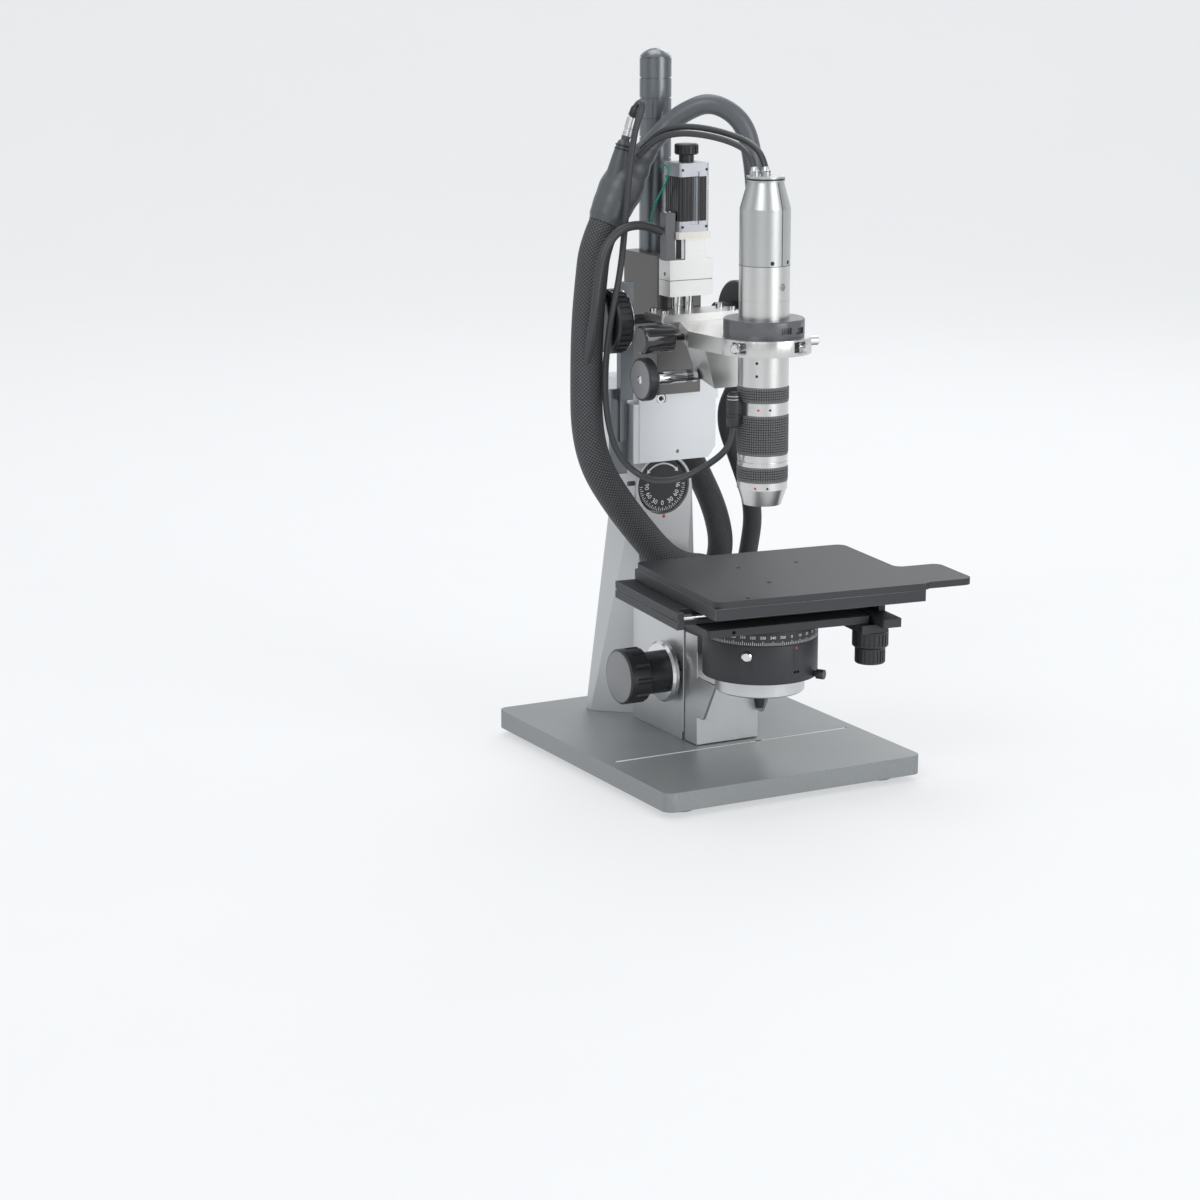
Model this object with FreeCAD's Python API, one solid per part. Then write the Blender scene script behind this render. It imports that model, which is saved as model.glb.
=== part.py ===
import FreeCAD, Part
import math
import os

# Digital microscope stand with a tilting head, in millimetres.
# X runs along the width, -Y is the front, +Z is up. The origin is the centre of the resting surface.

OUT = "parts"
GAP = 0.3          # space left between bodies that move past each other
FIT = 0.05         # radial clearance of a turning or sliding fit

# base
BASE_W = 244.0
BASE_L = 302.0
FOOT_H = 6.0
BASE_T = 16.0
BASE_CORNER = 9.0
GROOVE_Y = -48.0
GROOVE_W = 3.0
GROOVE_DEPTH = 1.5
FOOT_D = 24.0
FOOT_INSET = 27.0
BASE_TOP = FOOT_H + BASE_T

# axes shared by many parts
LENS_Y = -90.0     # the optical axis, which is also the turning axis of the stage
TILT_Z = BASE_TOP + 201.0

# upright
UP_FRONT = 72.0
UP_BACK = 114.0
UP_TOP_R = 27.5
UP_FOOT_HALF = 54.0
FACET_TOP_HALF = 28.0
FACET_FOOT_HALF = 14.8
FLANK_DX = 14.0
FLANK_DY = 12.0
DIAL_R = 23.25
DIAL_SINK = 2.5
DIAL_POCKET_R = 25.0
DIAL_T = 5.5
AXLE_R = 10.0
STOP_D = 4.0
STOP_L = 9.0
STOP_OUT = 5.5
STOP_IN = 4.0

# lift block and its knob
BLOCK_HALF = 31.0
BLOCK_FRONT = -17.5
BLOCK_BACK = 69.5
BLOCK_H = 115.0
LIFT_Y = 6.0
LIFT_Z = BASE_TOP + 56.0
LIFT_DISC_D = 52.0
LIFT_DISC_T = 5.0
LIFT_NECK_D = 36.0
LIFT_NECK_L = 19.0
LIFT_GRIP_D = 47.0
LIFT_GRIP_L = 20.0
LIFT_SPIGOT_D = 20.0
LIFT_SPIGOT_L = 4.7
PIN_D = 9.0
PIN_OUT = 4.3
PIN_Y = -11.0
PIN_Z = 85.8

# lift carriage and ring housing
CAR_HALF = 29.8
CAR_T = 20.0
CAR_TOP = BASE_TOP + 95.0
CHEEK_T = 2.8
LEDGE_Z = BASE_TOP + 25.0
LEDGE_OUT = 10.0
CHEEK_OUT = 29.5
DISC_D = 74.0
DISC_Z = BASE_TOP + 59.0
RING_Z = BASE_TOP + 73.0
RING_D = 95.0
RING_TOP = BASE_TOP + 105.0
HOLDER_TOP = BASE_TOP + 117.0
HOLDER_FRONT = -45.0
RING_KNOB_D = 8.0
RING_KNOB_L = 9.5
RING_KNOB_Z = BASE_TOP + 76.5
RING_KNOB_TURN = -54.8
BUTTON_D = 8.5
BUTTON_OUT = 2.4
BUTTON_DEPTH = 6.0
BUTTON_Z = BASE_TOP + 96.4
BUTTON_TURN = -134.2
SET_HOLE_D = 2.6
CONE_D = 10.5
CONE_TIP_D = 7.0
CONE_L = 16.4

# stage, laid out about the lens axis and then turned as it stands in the photograph
STAGE_TURN = -6.0
PLATE_Z = BASE_TOP + 118.3
PLATE_T = 6.3
PLATE_X = (-70.5, 75.0)
PLATE_HALF = 52.0
FRAME_Z = PLATE_Z + PLATE_T + 0.4
FRAME_T = 14.2
FRAME_HALF = 93.0
FRAME_Y = (-28.0, 87.0)
RAIL_FRONT = -42.0
RAIL_W = 6.0
RAIL_LINE = 1.0
ROD_D = 5.6
ROD_Y = -36.0
BRACKET_X = (76.0, 93.0)
BRACKET_Y = (-72.0, -28.0)
BRACKET_LOW_X = (64.0, 88.0)
BRACKET_LOW_Y = (-58.0, -25.0)
BRACKET_LOW_T = 7.0
DROP_X = 79.8
DROP_Y = -41.9
DROP_UPPER_D = 30.0
DROP_LOWER_D = 25.2
DROP_H = 13.7
SLIDE_Z = FRAME_Z + FRAME_T + GAP
SLIDE_T = 9.5
SLIDE_X = (-77.0, 110.0)
TOP_T = 5.5
TOP_X = (-77.0, 116.0)
TOP_Y = (-80.0, 83.0)
TOP_CORNER = 8.0
WING_X = 155.0
WING_Y = (-77.0, -16.5)
TOP_HOLES = ((-6.4, 30.2), (47.3, 32.1), (-6.5, -29.1), (-46.7, -74.6))
TOP_HOLE_D = 4.0

# tilting head
FACE_Y = 53.0
FACE_T = 17.0
FACE_X = (-40.5, 39.8)
FACE_Z = (TILT_Z + 25.5, TILT_Z + 76.0)
FACE_CUT_X = 7.0
FACE_CUT_Z = 9.5
SEAM_X = -35.2
HEAD_X = (-35.0, 42.0)
HEAD_TOP = TILT_Z + 93.0
HEAD_CLEAR = 30.0
CHEEK_BACK = 126.0
SCREW_D = 7.0
COL_HALF = 21.0
COL_Y = (46.0, 107.0)
COL_TOP = BASE_TOP + 402.0
POLE_D = 26.8
POLE_Y = 89.5
POLE_TOP = BASE_TOP + 571.4
POLE_DOME = 7.0
POLE_GROOVE = 1.4
POLE_GROOVES = (563.9, 546.9, 530.2, 513.7, 497.6, 480.2)
BAR_X = (-51.0, -38.6)
BAR_Y = 56.5
BAR_T = 7.0
BAR_Z = (BASE_TOP + 281.0, BASE_TOP + 381.0)
TAB_X = (-56.5, -40.5)
TAB_T = 4.0
TAB_Z = (BASE_TOP + 217.0, BASE_TOP + 290.0)

# coarse focus
COARSE_Y = 51.0
COARSE_Z = BASE_TOP + 350.0
COARSE_SHAFT_D = 8.0
COARSE_D = 54.0
COARSE_T = 13.5
COARSE_RIGHT = (38.0, 55.0)
COARSE_LEFT = -56.0
COARSE_HUB_D = 19.0
ZB_HALF = 20.5
ZB_Y = (27.0, 45.5)
ZB_Z = (BASE_TOP + 370.0, BASE_TOP + 400.5)
ZB_LINE = BASE_TOP + 383.5
NECK_X = (-6.0, 14.0)
NECK_H = 17.5
MPLATE_HALF = 15.0
MPLATE_T = 6.0
MOTOR_Y = 36.6
MOTOR_SIDE = 28.0
MOTOR_H = 56.5
MCAP_LOW = 8.7
MCAP_HIGH = 11.1
MCAP_NOTCH = 9.0
MFLUTE_R = 1.3
CBOX_X = (-25.0, -15.6)
CBOX_Y = (27.0, 36.0)
CBOX_H = 39.5
MKNOB_D = 20.0
MKNOB_T = 8.8
MKNOB_NECK_D = 12.5
MKNOB_NECK_L = 6.0

# fine focus and arm
APLATE_Z = BASE_TOP + 351.6
APLATE_T = 6.4
APLATE_HALF = 38.0
APLATE_Y = (8.0, 42.0)
ASCREW_D = 7.0
ASCREW_H = 3.0
ASCREW_X = 32.0
ASCREW_DY = 10.0
GROD_D = 8.0
GROD_X = (-10.0, 1.0)
GROD_Y = 34.0
GROD_IN = 14.0
ARM_T = 13.2
ARM_R = 38.5
ARM_BORE_R = 21.0
ARM_WIDE = 42.0
ARM_WIDE_Y = -41.0
ARM_TAIL = 20.0
ARM_TAIL_Y = 12.0
GUSSET_Y = (-43.0, -12.0)
GUSSET_HALF = (28.0, 18.0)
GUSSET_H = 35.4
GUSSET_RISE = 7.0
CSCREW_TURNS = (-152.0, -72.0, -14.0)
CSCREW_D = 7.6
CSCREW_OUT = 7.5
CSCREW_SLOT = 9.0
ADAPT_R = 32.8
ADAPT_H = 14.5
CTUBE_R = 20.5
CTUBE_H = 42.3
CBARREL_H = 45.3
CCONE_H = 21.4
CCONE_R = 14.5
CCAP_H = 4.0
BOSS_D = 8.0
BOSS_H = 3.0
BOSSES = ((2.5, -86.0), (-6.5, -84.0))
PLUG_X = -27.5
PLUG_D = 10.0
PLUG_Z = (BASE_TOP + 279.5, BASE_TOP + 307.4)

# lens: heights above the base top of the joints between its bands
LENS_TOP = 351.6
LENS_BARREL_LOW = 311.5
UPPER_RING = (299.1, 311.2)
ZOOM_RING = (256.2, 288.3)
LOWER_RING = (234.0, 246.1)
NOSE_TOP = 227.5
NOSE_LOW = 214.1
LENS_R = 20.5
LENS_CORE_R = 17.0
LENS_RING_R = 20.95
NOSE_R = 15.75
LENS_BORE_R = 11.0
LENS_GROOVE_Z = 251.0

# side knobs of the arm
CLAMP_Y = -21.5
CLAMP_Z = BASE_TOP + 344.0
CLAMP_D = 23.0
CLAMP_X = (-76.0, -47.0)
CLAMP_STUD_END = -35.4
CLAMP_LOBES = 6
DISC_KNOB_Y = -18.0
DISC_KNOB_Z = BASE_TOP + 311.0
DISC_KNOB_D = 34.5
DISC_KNOB_T = 9.0
DISC_KNOB_X = -73.6
DISC_SHAFT_D = 8.0
DISC_SHAFT_END = -15.0

# cords: points of each route, taken from the photograph where it shows them
HOSE_D = 16.5
LEFT_SLEEVE_D = 27.0
REAR_SLEEVE_D = 22.0
LEAD_D = 4.5
MOTOR_CORD_D = 7.5
FORK_TOP = (-24.0, 57.0, 514.0)
FORK_NECK = (-47.0, 58.0, 488.0)
FORK_LOW = (-66.0, 57.0, 452.0)
FORK_R = (8.6, 16.5, 13.8)
SOCKET_TOP = (-44.5, 52.0, 531.0)
SOCKET_LOW = (-55.0, 55.0, 497.0)
SOCKET_R = 5.0
MAIN_HOSE = ((-23.7, 57.0, 514.4), (-11.5, 56.5, 528.2), (2.0, 46.5, 542.5), (21.0, 32.0, 552.5), (43.0, 18.0, 537.0),
             (51.0, 13.5, 506.0),
             (54.0, 12.0, 455.0), (56.0, 11.0, 400.0), (58.0, 15.5, 350.0), (60.0, 50.0, 312.0), (62.0, 78.0, 278.0),
             (78.0, 88.0, 236.0), (93.0, 88.0, 192.0), (93.0, 96.0, 150.0), (97.0, 114.0, 112.0), (106.0, 138.0, 76.0),
             (117.0, 164.0, 44.0), (130.0, 192.0, 20.0), (147.0, 224.0, 9.0), (161.0, 262.0, 8.3), (168.0, 300.0, 8.3),
             (180.0, 334.0, 8.3))
LEFT_SLEEVE = ((-66.2, 57.0, 451.6), (-75.5, 56.5, 434.0), (-85.0, 51.0, 408.0), (-93.0, 45.0, 370.0), (-94.0, 43.0, 325.0), (-86.0, 44.0, 280.0),
               (-64.0, 47.0, 240.0), (-32.0, 49.0, 206.0), (8.0, 50.0, 172.0), (44.0, 54.0, 144.0), (68.0, 78.0, 116.0),
               (78.0, 112.0, 84.0), (88.0, 148.0, 56.0), (99.0, 182.0, 33.0), (111.0, 214.0, 18.0), (124.0, 248.0, 13.6),
               (130.0, 284.0, 13.6), (141.0, 316.0, 13.6))
REAR_SLEEVE = ((6.0, 108.3, 372.0), (7.0, 136.0, 370.0), (17.0, 150.0, 344.0), (26.0, 146.0, 314.0), (36.0, 140.0, 284.0),
               (50.0, 132.0, 252.0), (62.0, 120.0, 222.0), (70.0, 103.0, 190.0), (72.0, 94.0, 158.0), (69.0, 108.0, 126.0),
               (60.0, 134.0, 94.0), (58.0, 160.0, 63.0), (62.0, 186.0, 38.0), (72.0, 214.0, 20.0), (84.0, 246.0, 11.2),
               (92.0, 280.0, 11.2), (104.0, 310.0, 11.2))
END_PLUG_L = 42.0
END_PLUG_RIM = 1.0
LEAD_TOP = 505.4
LEAD_1 = ((2.5, -86.0, LEAD_TOP), (2.6, -82.0, 514.0), (2.0, -70.0, 523.0), (0.0, -46.0, 529.0), (-10.0, -16.0, 534.0),
          (-20.0, 10.0, 534.5), (-30.0, 32.0, 529.0), (-37.0, 46.0, 514.0))
LEAD_2 = ((-6.5, -84.0, LEAD_TOP), (-7.0, -79.0, 513.0), (-9.0, -66.0, 520.0), (-13.0, -42.0, 524.5), (-20.0, -16.0, 527.5),
          (-28.0, 8.0, 527.0), (-36.0, 28.0, 522.0), (-43.0, 42.0, 508.0))
LENS_CORD = ((-27.5, -90.0, 301.2), (-28.5, -90.5, 293.0), (-34.0, -88.0, 281.0), (-42.0, -76.0, 269.5),
             (-45.0, -48.0, 255.5), (-45.0, -14.0, 245.0), (-52.0, 14.0, 243.0), (-66.0, 28.0, 260.0),
             (-75.0, 30.0, 290.0), (-78.5, 30.0, 330.0), (-75.5, 30.0, 375.0), (-66.0, 33.0, 415.0),
             (-56.0, 36.0, 460.0), (-48.0, 37.5, 500.0), (-41.5, 38.0, 530.0), (-38.5, 38.5, 549.5), (-38.8, 52.5, 551.5),
             (-41.5, 52.8, 541.0), (-44.4, 52.3, 531.2))
MOTOR_CORD = ((-27.0, 31.5, 446.6), (-35.0, 30.5, 450.0), (-50.0, 29.0, 454.0), (-68.0, 28.0, 451.0), (-82.0, 28.0, 436.0),
              (-88.0, 27.0, 414.0), (-92.0, 25.0, 388.0), (-95.0, 28.0, 362.0), (-95.0, 36.0, 338.0))


def vec(x, y, z):
    return FreeCAD.Vector(x, y, z)


def box(xs, ys, zs):
    size = (xs[1] - xs[0], ys[1] - ys[0], zs[1] - zs[0])
    return Part.makeBox(size[0], size[1], size[2], vec(xs[0], ys[0], zs[0]))


def disc(radius, height, at, axis=(0, 0, 1)):
    return Part.makeCylinder(radius, height, vec(*at), vec(*axis))


def prism(points, z0, height):
    wire = Part.makePolygon([vec(x, y, z0) for x, y in points + points[:1]])
    return Part.Face(wire).extrude(vec(0, 0, height))


def profile_y(points, y0, depth):
    """Outline in X and Z, extruded along Y."""
    wire = Part.makePolygon([vec(x, y0, z) for x, z in points + points[:1]])
    return Part.Face(wire).extrude(vec(0, depth, 0))


def profile_x(points, x0, depth):
    """Outline in Y and Z, extruded along X."""
    wire = Part.makePolygon([vec(x0, y, z) for y, z in points + points[:1]])
    return Part.Face(wire).extrude(vec(depth, 0, 0))


def turned(profile, at):
    """Revolves (radius, height) points about the vertical through at."""
    points = [vec(r, 0, z) for r, z in profile]
    face = Part.Face(Part.makePolygon(points + points[:1]))
    solid = face.revolve(vec(0, 0, 0), vec(0, 0, 1), 360)
    solid.translate(vec(at[0], at[1], 0))
    return solid


def lie_along_x(solid, x, y, z):
    """Lays a solid made along +Z so that it runs along +X from the point."""
    solid.rotate(vec(0, 0, 0), vec(0, 1, 0), 90)
    solid.translate(vec(x, y, z))
    return solid


def rounded(xs, ys, zs, radius):
    solid = box(xs, ys, zs)
    edges = [e for e in solid.Edges if abs(e.tangentAt(e.FirstParameter).z) > 0.99]
    return solid.makeFillet(radius, edges)


def around(solid, count):
    """Copies of a solid turned evenly about the vertical through the origin."""
    copies = []
    for i in range(count):
        copy = solid.copy()
        copy.rotate(vec(0, 0, 0), vec(0, 0, 1), 360.0 * i / count)
        copies.append(copy)
    return copies


def on_stage(solid):
    """Moves a solid from the stage's own layout to its place under the lens."""
    solid.rotate(vec(0, 0, 0), vec(0, 0, 1), STAGE_TURN)
    solid.translate(vec(0, LENS_Y, 0))
    return solid


def about_lens(solid, turn):
    """Moves a solid made along +X from the origin to an angle around the lens axis."""
    solid.rotate(vec(0, 0, 0), vec(0, 0, 1), turn)
    solid.translate(vec(0, LENS_Y, 0))
    return solid


def save(name, solid):
    if not isinstance(solid, Part.Shape):
        raise ValueError(name)
    solid.exportStep(os.path.join(OUT, name + ".step"))
    print("%-16s solids %d volume %.0f valid %s" % (name, len(solid.Solids), solid.Volume, solid.isValid()))


def cord(name, points, diameter):
    """A tube of straight runs joined by tangent arcs."""
    pts = [vec(*p) for p in points]
    edges = []
    radii = []
    start = pts[0]
    for before, here, after in zip(pts, pts[1:], pts[2:]):
        back = (before - here)
        ahead = (after - here)
        shorter = min(back.Length, ahead.Length)
        back.normalize()
        ahead.normalize()
        half_turn = (math.pi - back.getAngle(ahead)) / 2
        reach = 0.45 * shorter
        radii.append(reach / math.tan(half_turn))
        a = here + back * reach
        b = here + ahead * reach
        bisector = back + ahead
        bisector.normalize()
        middle = here + bisector * (radii[-1] / math.cos(half_turn) - radii[-1])
        edges.append(Part.LineSegment(start, a).toShape())
        edges.append(Part.Arc(a, middle, b).toShape())
        start = b
    edges.append(Part.LineSegment(start, pts[-1]).toShape())
    wire = Part.Wire(edges)
    section = Part.Wire(Part.makeCircle(diameter / 2, pts[0], pts[1] - pts[0]))
    tube = wire.makePipeShell([section], True, False)
    full = math.pi * diameter ** 2 / 4 * wire.Length
    print("%s length %.0f volume ratio %.3f radii in diameters %s"
          % (name, wire.Length, tube.Volume / full, " ".join("%.1f" % (r / diameter) for r in radii)))
    return tube


def base_plate():
    plate = rounded((-BASE_W / 2, BASE_W / 2), (-BASE_L / 2, BASE_L / 2), (FOOT_H, BASE_TOP), BASE_CORNER)
    reach = BASE_W / 2 - BASE_CORNER
    groove = box((-reach, reach), (GROOVE_Y - GROOVE_W / 2, GROOVE_Y + GROOVE_W / 2), (BASE_TOP - GROOVE_DEPTH, BASE_TOP + 1))
    return plate.cut(groove)


def base_feet():
    reach = (BASE_W / 2 - FOOT_INSET, BASE_L / 2 - FOOT_INSET)
    places = [(0, 0)] + [(sx * reach[0], sy * reach[1]) for sx in (-1, 1) for sy in (-1, 1)]
    return Part.makeCompound([disc(FOOT_D / 2, FOOT_H, (x, y, 0)) for x, y in places])


def upright():
    rise = TILT_Z - BASE_TOP
    reach = math.acos(UP_TOP_R / math.hypot(UP_FOOT_HALF, rise))
    touch = math.atan2(-rise, UP_FOOT_HALF) + reach
    tx = UP_TOP_R * math.cos(touch)
    tz = UP_TOP_R * math.sin(touch)
    foot_r = vec(UP_FOOT_HALF, UP_FRONT, BASE_TOP)
    foot_l = vec(-UP_FOOT_HALF, UP_FRONT, BASE_TOP)
    right = vec(tx, UP_FRONT, TILT_Z + tz)
    left = vec(-tx, UP_FRONT, TILT_Z + tz)
    top = vec(0, UP_FRONT, TILT_Z + UP_TOP_R)
    edges = [Part.LineSegment(foot_l, foot_r), Part.LineSegment(foot_r, right),
             Part.Arc(right, top, left), Part.LineSegment(left, foot_l)]
    body = Part.Face(Part.Wire([e.toShape() for e in edges])).extrude(vec(0, UP_BACK - UP_FRONT, 0))
    for side in (-1, 1):
        body = body.cut(flank(side))
    body = body.cut(disc(DIAL_POCKET_R, DIAL_SINK + DIAL_T + GAP, (0, UP_FRONT, TILT_Z), (0, 1, 0)))
    return body.cut(disc(AXLE_R, UP_BACK - UP_FRONT, (0, UP_FRONT, TILT_Z), (0, 1, 0)))


def flank(side):
    """The wedge cut off a front corner, wider towards the foot."""
    slope = (FACET_TOP_HALF - FACET_FOOT_HALF) / (TILT_Z - BASE_TOP)
    wires = []
    for z in (BASE_TOP - 1, TILT_Z + UP_TOP_R + 1):
        facet = FACET_FOOT_HALF + slope * (z - BASE_TOP)
        near = (facet - FLANK_DX / FLANK_DY, UP_FRONT - 1)
        far = (facet + 4 * FLANK_DX, UP_FRONT + 4 * FLANK_DY)
        out = (far[0], near[1])
        wires.append(Part.makePolygon([vec(side * x, y, z) for x, y in (near, far, out, near)]))
    return Part.makeLoft(wires, True, True)


def side_screws():
    stop = disc(STOP_D / 2, STOP_L, (-UP_TOP_R - STOP_OUT, UP_FRONT + STOP_IN, TILT_Z + STOP_D), (1, 0, 0))
    stop = stop.cut(disc(UP_TOP_R, UP_BACK - UP_FRONT, (0, UP_FRONT, TILT_Z), (0, 1, 0)))
    pin = disc(PIN_D / 2, PIN_OUT, (-BLOCK_HALF - PIN_OUT, PIN_Y, PIN_Z), (1, 0, 0))
    return Part.makeCompound([stop.Solids[0], pin])


def lift_block():
    body = box((-BLOCK_HALF, BLOCK_HALF), (BLOCK_FRONT, BLOCK_BACK), (BASE_TOP, BASE_TOP + BLOCK_H))
    notch = box((-BLOCK_HALF - 1, -BLOCK_HALF + 4), (BLOCK_FRONT - 1, BLOCK_FRONT + 2.2), (BASE_TOP - 1, BASE_TOP + 7))
    return body.cut(notch)


def lift_knob_disc():
    length = LIFT_SPIGOT_L
    profile = [(0, 0), (LIFT_DISC_D / 2 - 2, 0), (LIFT_DISC_D / 2, 2), (LIFT_DISC_D / 2, LIFT_DISC_T),
               (LIFT_SPIGOT_D / 2 + 6, LIFT_DISC_T), (LIFT_SPIGOT_D / 2, LIFT_DISC_T + 1),
               (LIFT_SPIGOT_D / 2, LIFT_DISC_T + length), (0, LIFT_DISC_T + length)]
    return lie_along_x(turned(profile, (0, 0)), -BLOCK_HALF - GAP - LIFT_DISC_T - length, LIFT_Y, LIFT_Z)


def lift_knob_grip():
    grip = disc(LIFT_GRIP_D / 2, LIFT_GRIP_L, (0, 0, 0))
    grip = grip.makeChamfer(1.2, [grip.Edges[0], grip.Edges[2]])
    flute = disc(3.2, LIFT_GRIP_L - 6, (LIFT_GRIP_D / 2 + 1.7, 0, 6))
    grip = grip.cut(Part.makeCompound(around(flute, 12)))
    neck = disc(LIFT_NECK_D / 2, LIFT_NECK_L, (0, 0, LIFT_GRIP_L))
    length = LIFT_GRIP_L + LIFT_NECK_L
    x0 = -BLOCK_HALF - GAP - LIFT_SPIGOT_L - LIFT_DISC_T - length
    return lie_along_x(grip.fuse(neck).removeSplitter(), x0, LIFT_Y, LIFT_Z)


def lift_carriage():
    back = BLOCK_FRONT - 1.0
    front = back - CAR_T
    bottom = BASE_TOP + 0.7
    plate = box((-CAR_HALF, CAR_HALF), (front, back), (bottom, CAR_TOP))
    side = [(back, bottom), (front, bottom), (front, LEDGE_Z), (front - LEDGE_OUT, LEDGE_Z),
            (front - CHEEK_OUT, DISC_Z), (back, DISC_Z)]
    left = profile_x(side, -CAR_HALF, CHEEK_T)
    right = profile_x(side, CAR_HALF - CHEEK_T, CHEEK_T)
    return plate.fuse([left, right]).removeSplitter()


def foot_disc():
    body = disc(DISC_D / 2, RING_Z - DISC_Z, (0, LENS_Y, DISC_Z))
    return body.makeChamfer(1.0, [body.Edges[2]])


def ring_housing():
    ring = disc(RING_D / 2, RING_TOP - RING_Z, (0, LENS_Y, RING_Z))
    back = BLOCK_FRONT - 1.0
    holder = box((-CAR_HALF, CAR_HALF), (HOLDER_FRONT - 12, back), (CAR_TOP, HOLDER_TOP))
    low = box((-CAR_HALF, CAR_HALF), (HOLDER_FRONT - 12, back - CAR_T), (CAR_TOP - 14, CAR_TOP))
    body = ring.fuse([holder, low]).removeSplitter()
    room = disc(RING_D / 2 + 1.2, HOLDER_TOP, (0, LENS_Y, RING_TOP))
    body = body.cut(room)
    bore = about_lens(disc(BUTTON_D / 2 + FIT, 20, (RING_D / 2 - BUTTON_DEPTH - 2, 0, BUTTON_Z), (1, 0, 0)), BUTTON_TURN)
    body = body.cut(bore)
    for turn in (-80.5, -84.0):
        hole = disc(SET_HOLE_D / 2, 6, (RING_D / 2 - 3, 0, RING_Z + 9), (1, 0, 0))
        body = body.cut(about_lens(hole, turn))
    return body


def ring_button():
    start = RING_D / 2 - BUTTON_DEPTH
    body = disc(BUTTON_D / 2, BUTTON_DEPTH + BUTTON_OUT, (start, 0, BUTTON_Z), (1, 0, 0))
    body = body.makeChamfer(1.0, [body.Edges[0]])
    return about_lens(body, BUTTON_TURN)


def ring_knob():
    start = RING_D / 2 + GAP
    stem = disc(RING_KNOB_D / 2 - 1.5, RING_KNOB_L, (start, 0, RING_KNOB_Z), (1, 0, 0))
    head = disc(RING_KNOB_D / 2, RING_KNOB_L - 3, (start + 3, 0, RING_KNOB_Z), (1, 0, 0))
    return about_lens(stem.fuse(head).removeSplitter(), RING_KNOB_TURN)


def cone_knob():
    top = DISC_Z - GAP
    profile = [(0, top), (CONE_D / 2, top), (CONE_D / 2, top - CONE_L * 0.45), (CONE_TIP_D / 2, top - CONE_L), (0, top - CONE_L)]
    return turned(profile, (0, LENS_Y))


def scale_ring():
    return on_stage(disc(RING_D / 2, PLATE_Z - RING_TOP - GAP, (0, 0, RING_TOP + GAP)))


def lower_plate():
    plate = rounded(PLATE_X, (-PLATE_HALF, PLATE_HALF), (PLATE_Z, PLATE_Z + PLATE_T), 3.0)
    hole = disc(1.6, 4, (-48.0, -PLATE_HALF - 1, PLATE_Z + PLATE_T / 2), (0, 1, 0))
    return on_stage(plate.cut(hole))


def y_frame():
    top = FRAME_Z + FRAME_T
    body = box((-FRAME_HALF, FRAME_HALF), FRAME_Y, (FRAME_Z, top))
    for sx in (-1, 1):
        xs = sorted((sx * FRAME_HALF, sx * (FRAME_HALF - RAIL_W)))
        body = body.fuse(box(xs, (RAIL_FRONT, FRAME_Y[1]), (FRAME_Z, top)))
    body = body.removeSplitter()
    mid = FRAME_Z + FRAME_T / 2
    for sx in (-1, 1):
        xs = sorted((sx * (FRAME_HALF + 1), sx * (FRAME_HALF - RAIL_LINE)))
        body = body.cut(box(xs, (RAIL_FRONT - 1, FRAME_Y[1] + 1), (mid - 0.6, mid + 0.6)))
    return on_stage(body)


def y_rod():
    inner = FRAME_HALF - RAIL_W
    return on_stage(disc(ROD_D / 2, 2 * inner, (-inner, ROD_Y, FRAME_Z + FRAME_T / 2 + 1.8), (1, 0, 0)))


def y_bracket():
    low = PLATE_Z - GAP
    upper = rounded(BRACKET_X, BRACKET_Y, (low, FRAME_Z), 2.0)
    tab = box((BRACKET_X[0], BRACKET_X[1]), (BRACKET_Y[1] - 3, FRAME_Y[0] + 20), (low, FRAME_Z))
    lower = box(BRACKET_LOW_X, BRACKET_LOW_Y, (low - BRACKET_LOW_T, low))
    return on_stage(upper.fuse([tab, lower]).removeSplitter())


def drop_knob(diameter, top):
    body = disc(diameter / 2, DROP_H, (0, 0, top - DROP_H))
    body = body.makeChamfer(0.8, [body.Edges[0], body.Edges[2]])
    groove = box((diameter / 2 - 0.7, diameter / 2 + 1), (-0.8, 0.8), (top - DROP_H + 2, top - 2))
    body = body.cut(Part.makeCompound(around(groove, 24)))
    body.translate(vec(DROP_X, DROP_Y, 0))
    return on_stage(body)


def x_plate():
    return on_stage(box(SLIDE_X, TOP_Y, (SLIDE_Z, SLIDE_Z + SLIDE_T)))


def stage_top():
    zs = (SLIDE_Z + SLIDE_T, SLIDE_Z + SLIDE_T + TOP_T)
    plate = rounded(TOP_X, TOP_Y, zs, TOP_CORNER)
    wing = rounded((TOP_X[1] - 3 * TOP_CORNER, WING_X), WING_Y, zs, TOP_CORNER)
    body = plate.fuse(wing).removeSplitter()
    inner = [e for e in body.Edges if len(e.Vertexes) == 2 and abs(e.Vertexes[0].X - TOP_X[1]) < 0.01
             and abs(e.Vertexes[1].X - TOP_X[1]) < 0.01 and abs(e.Vertexes[0].Y - WING_Y[1]) < 0.01
             and abs(e.Vertexes[1].Y - WING_Y[1]) < 0.01]
    body = body.makeFillet(TOP_CORNER, inner)
    for x, y in TOP_HOLES:
        body = body.cut(disc(TOP_HOLE_D / 2, 3, (x, y, zs[1] - 3)))
    return on_stage(body)


def head_plate():
    x0, x1 = FACE_X
    z0, z1 = FACE_Z
    outline = [(x0, z0), (x1 - FACE_CUT_X, z0), (x1, z0 + FACE_CUT_Z), (x1, z1), (x0, z1)]
    body = profile_y(outline, FACE_Y, FACE_T)
    seam = box((SEAM_X - 0.4, SEAM_X + 0.4), (FACE_Y - 1, FACE_Y + 0.6), (z0 - 1, z1 + 1))
    hole = disc(1.6, 4, (2.5, FACE_Y - 1, z0 + 7.4), (0, 1, 0))
    return body.cut(seam).cut(hole)


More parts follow.
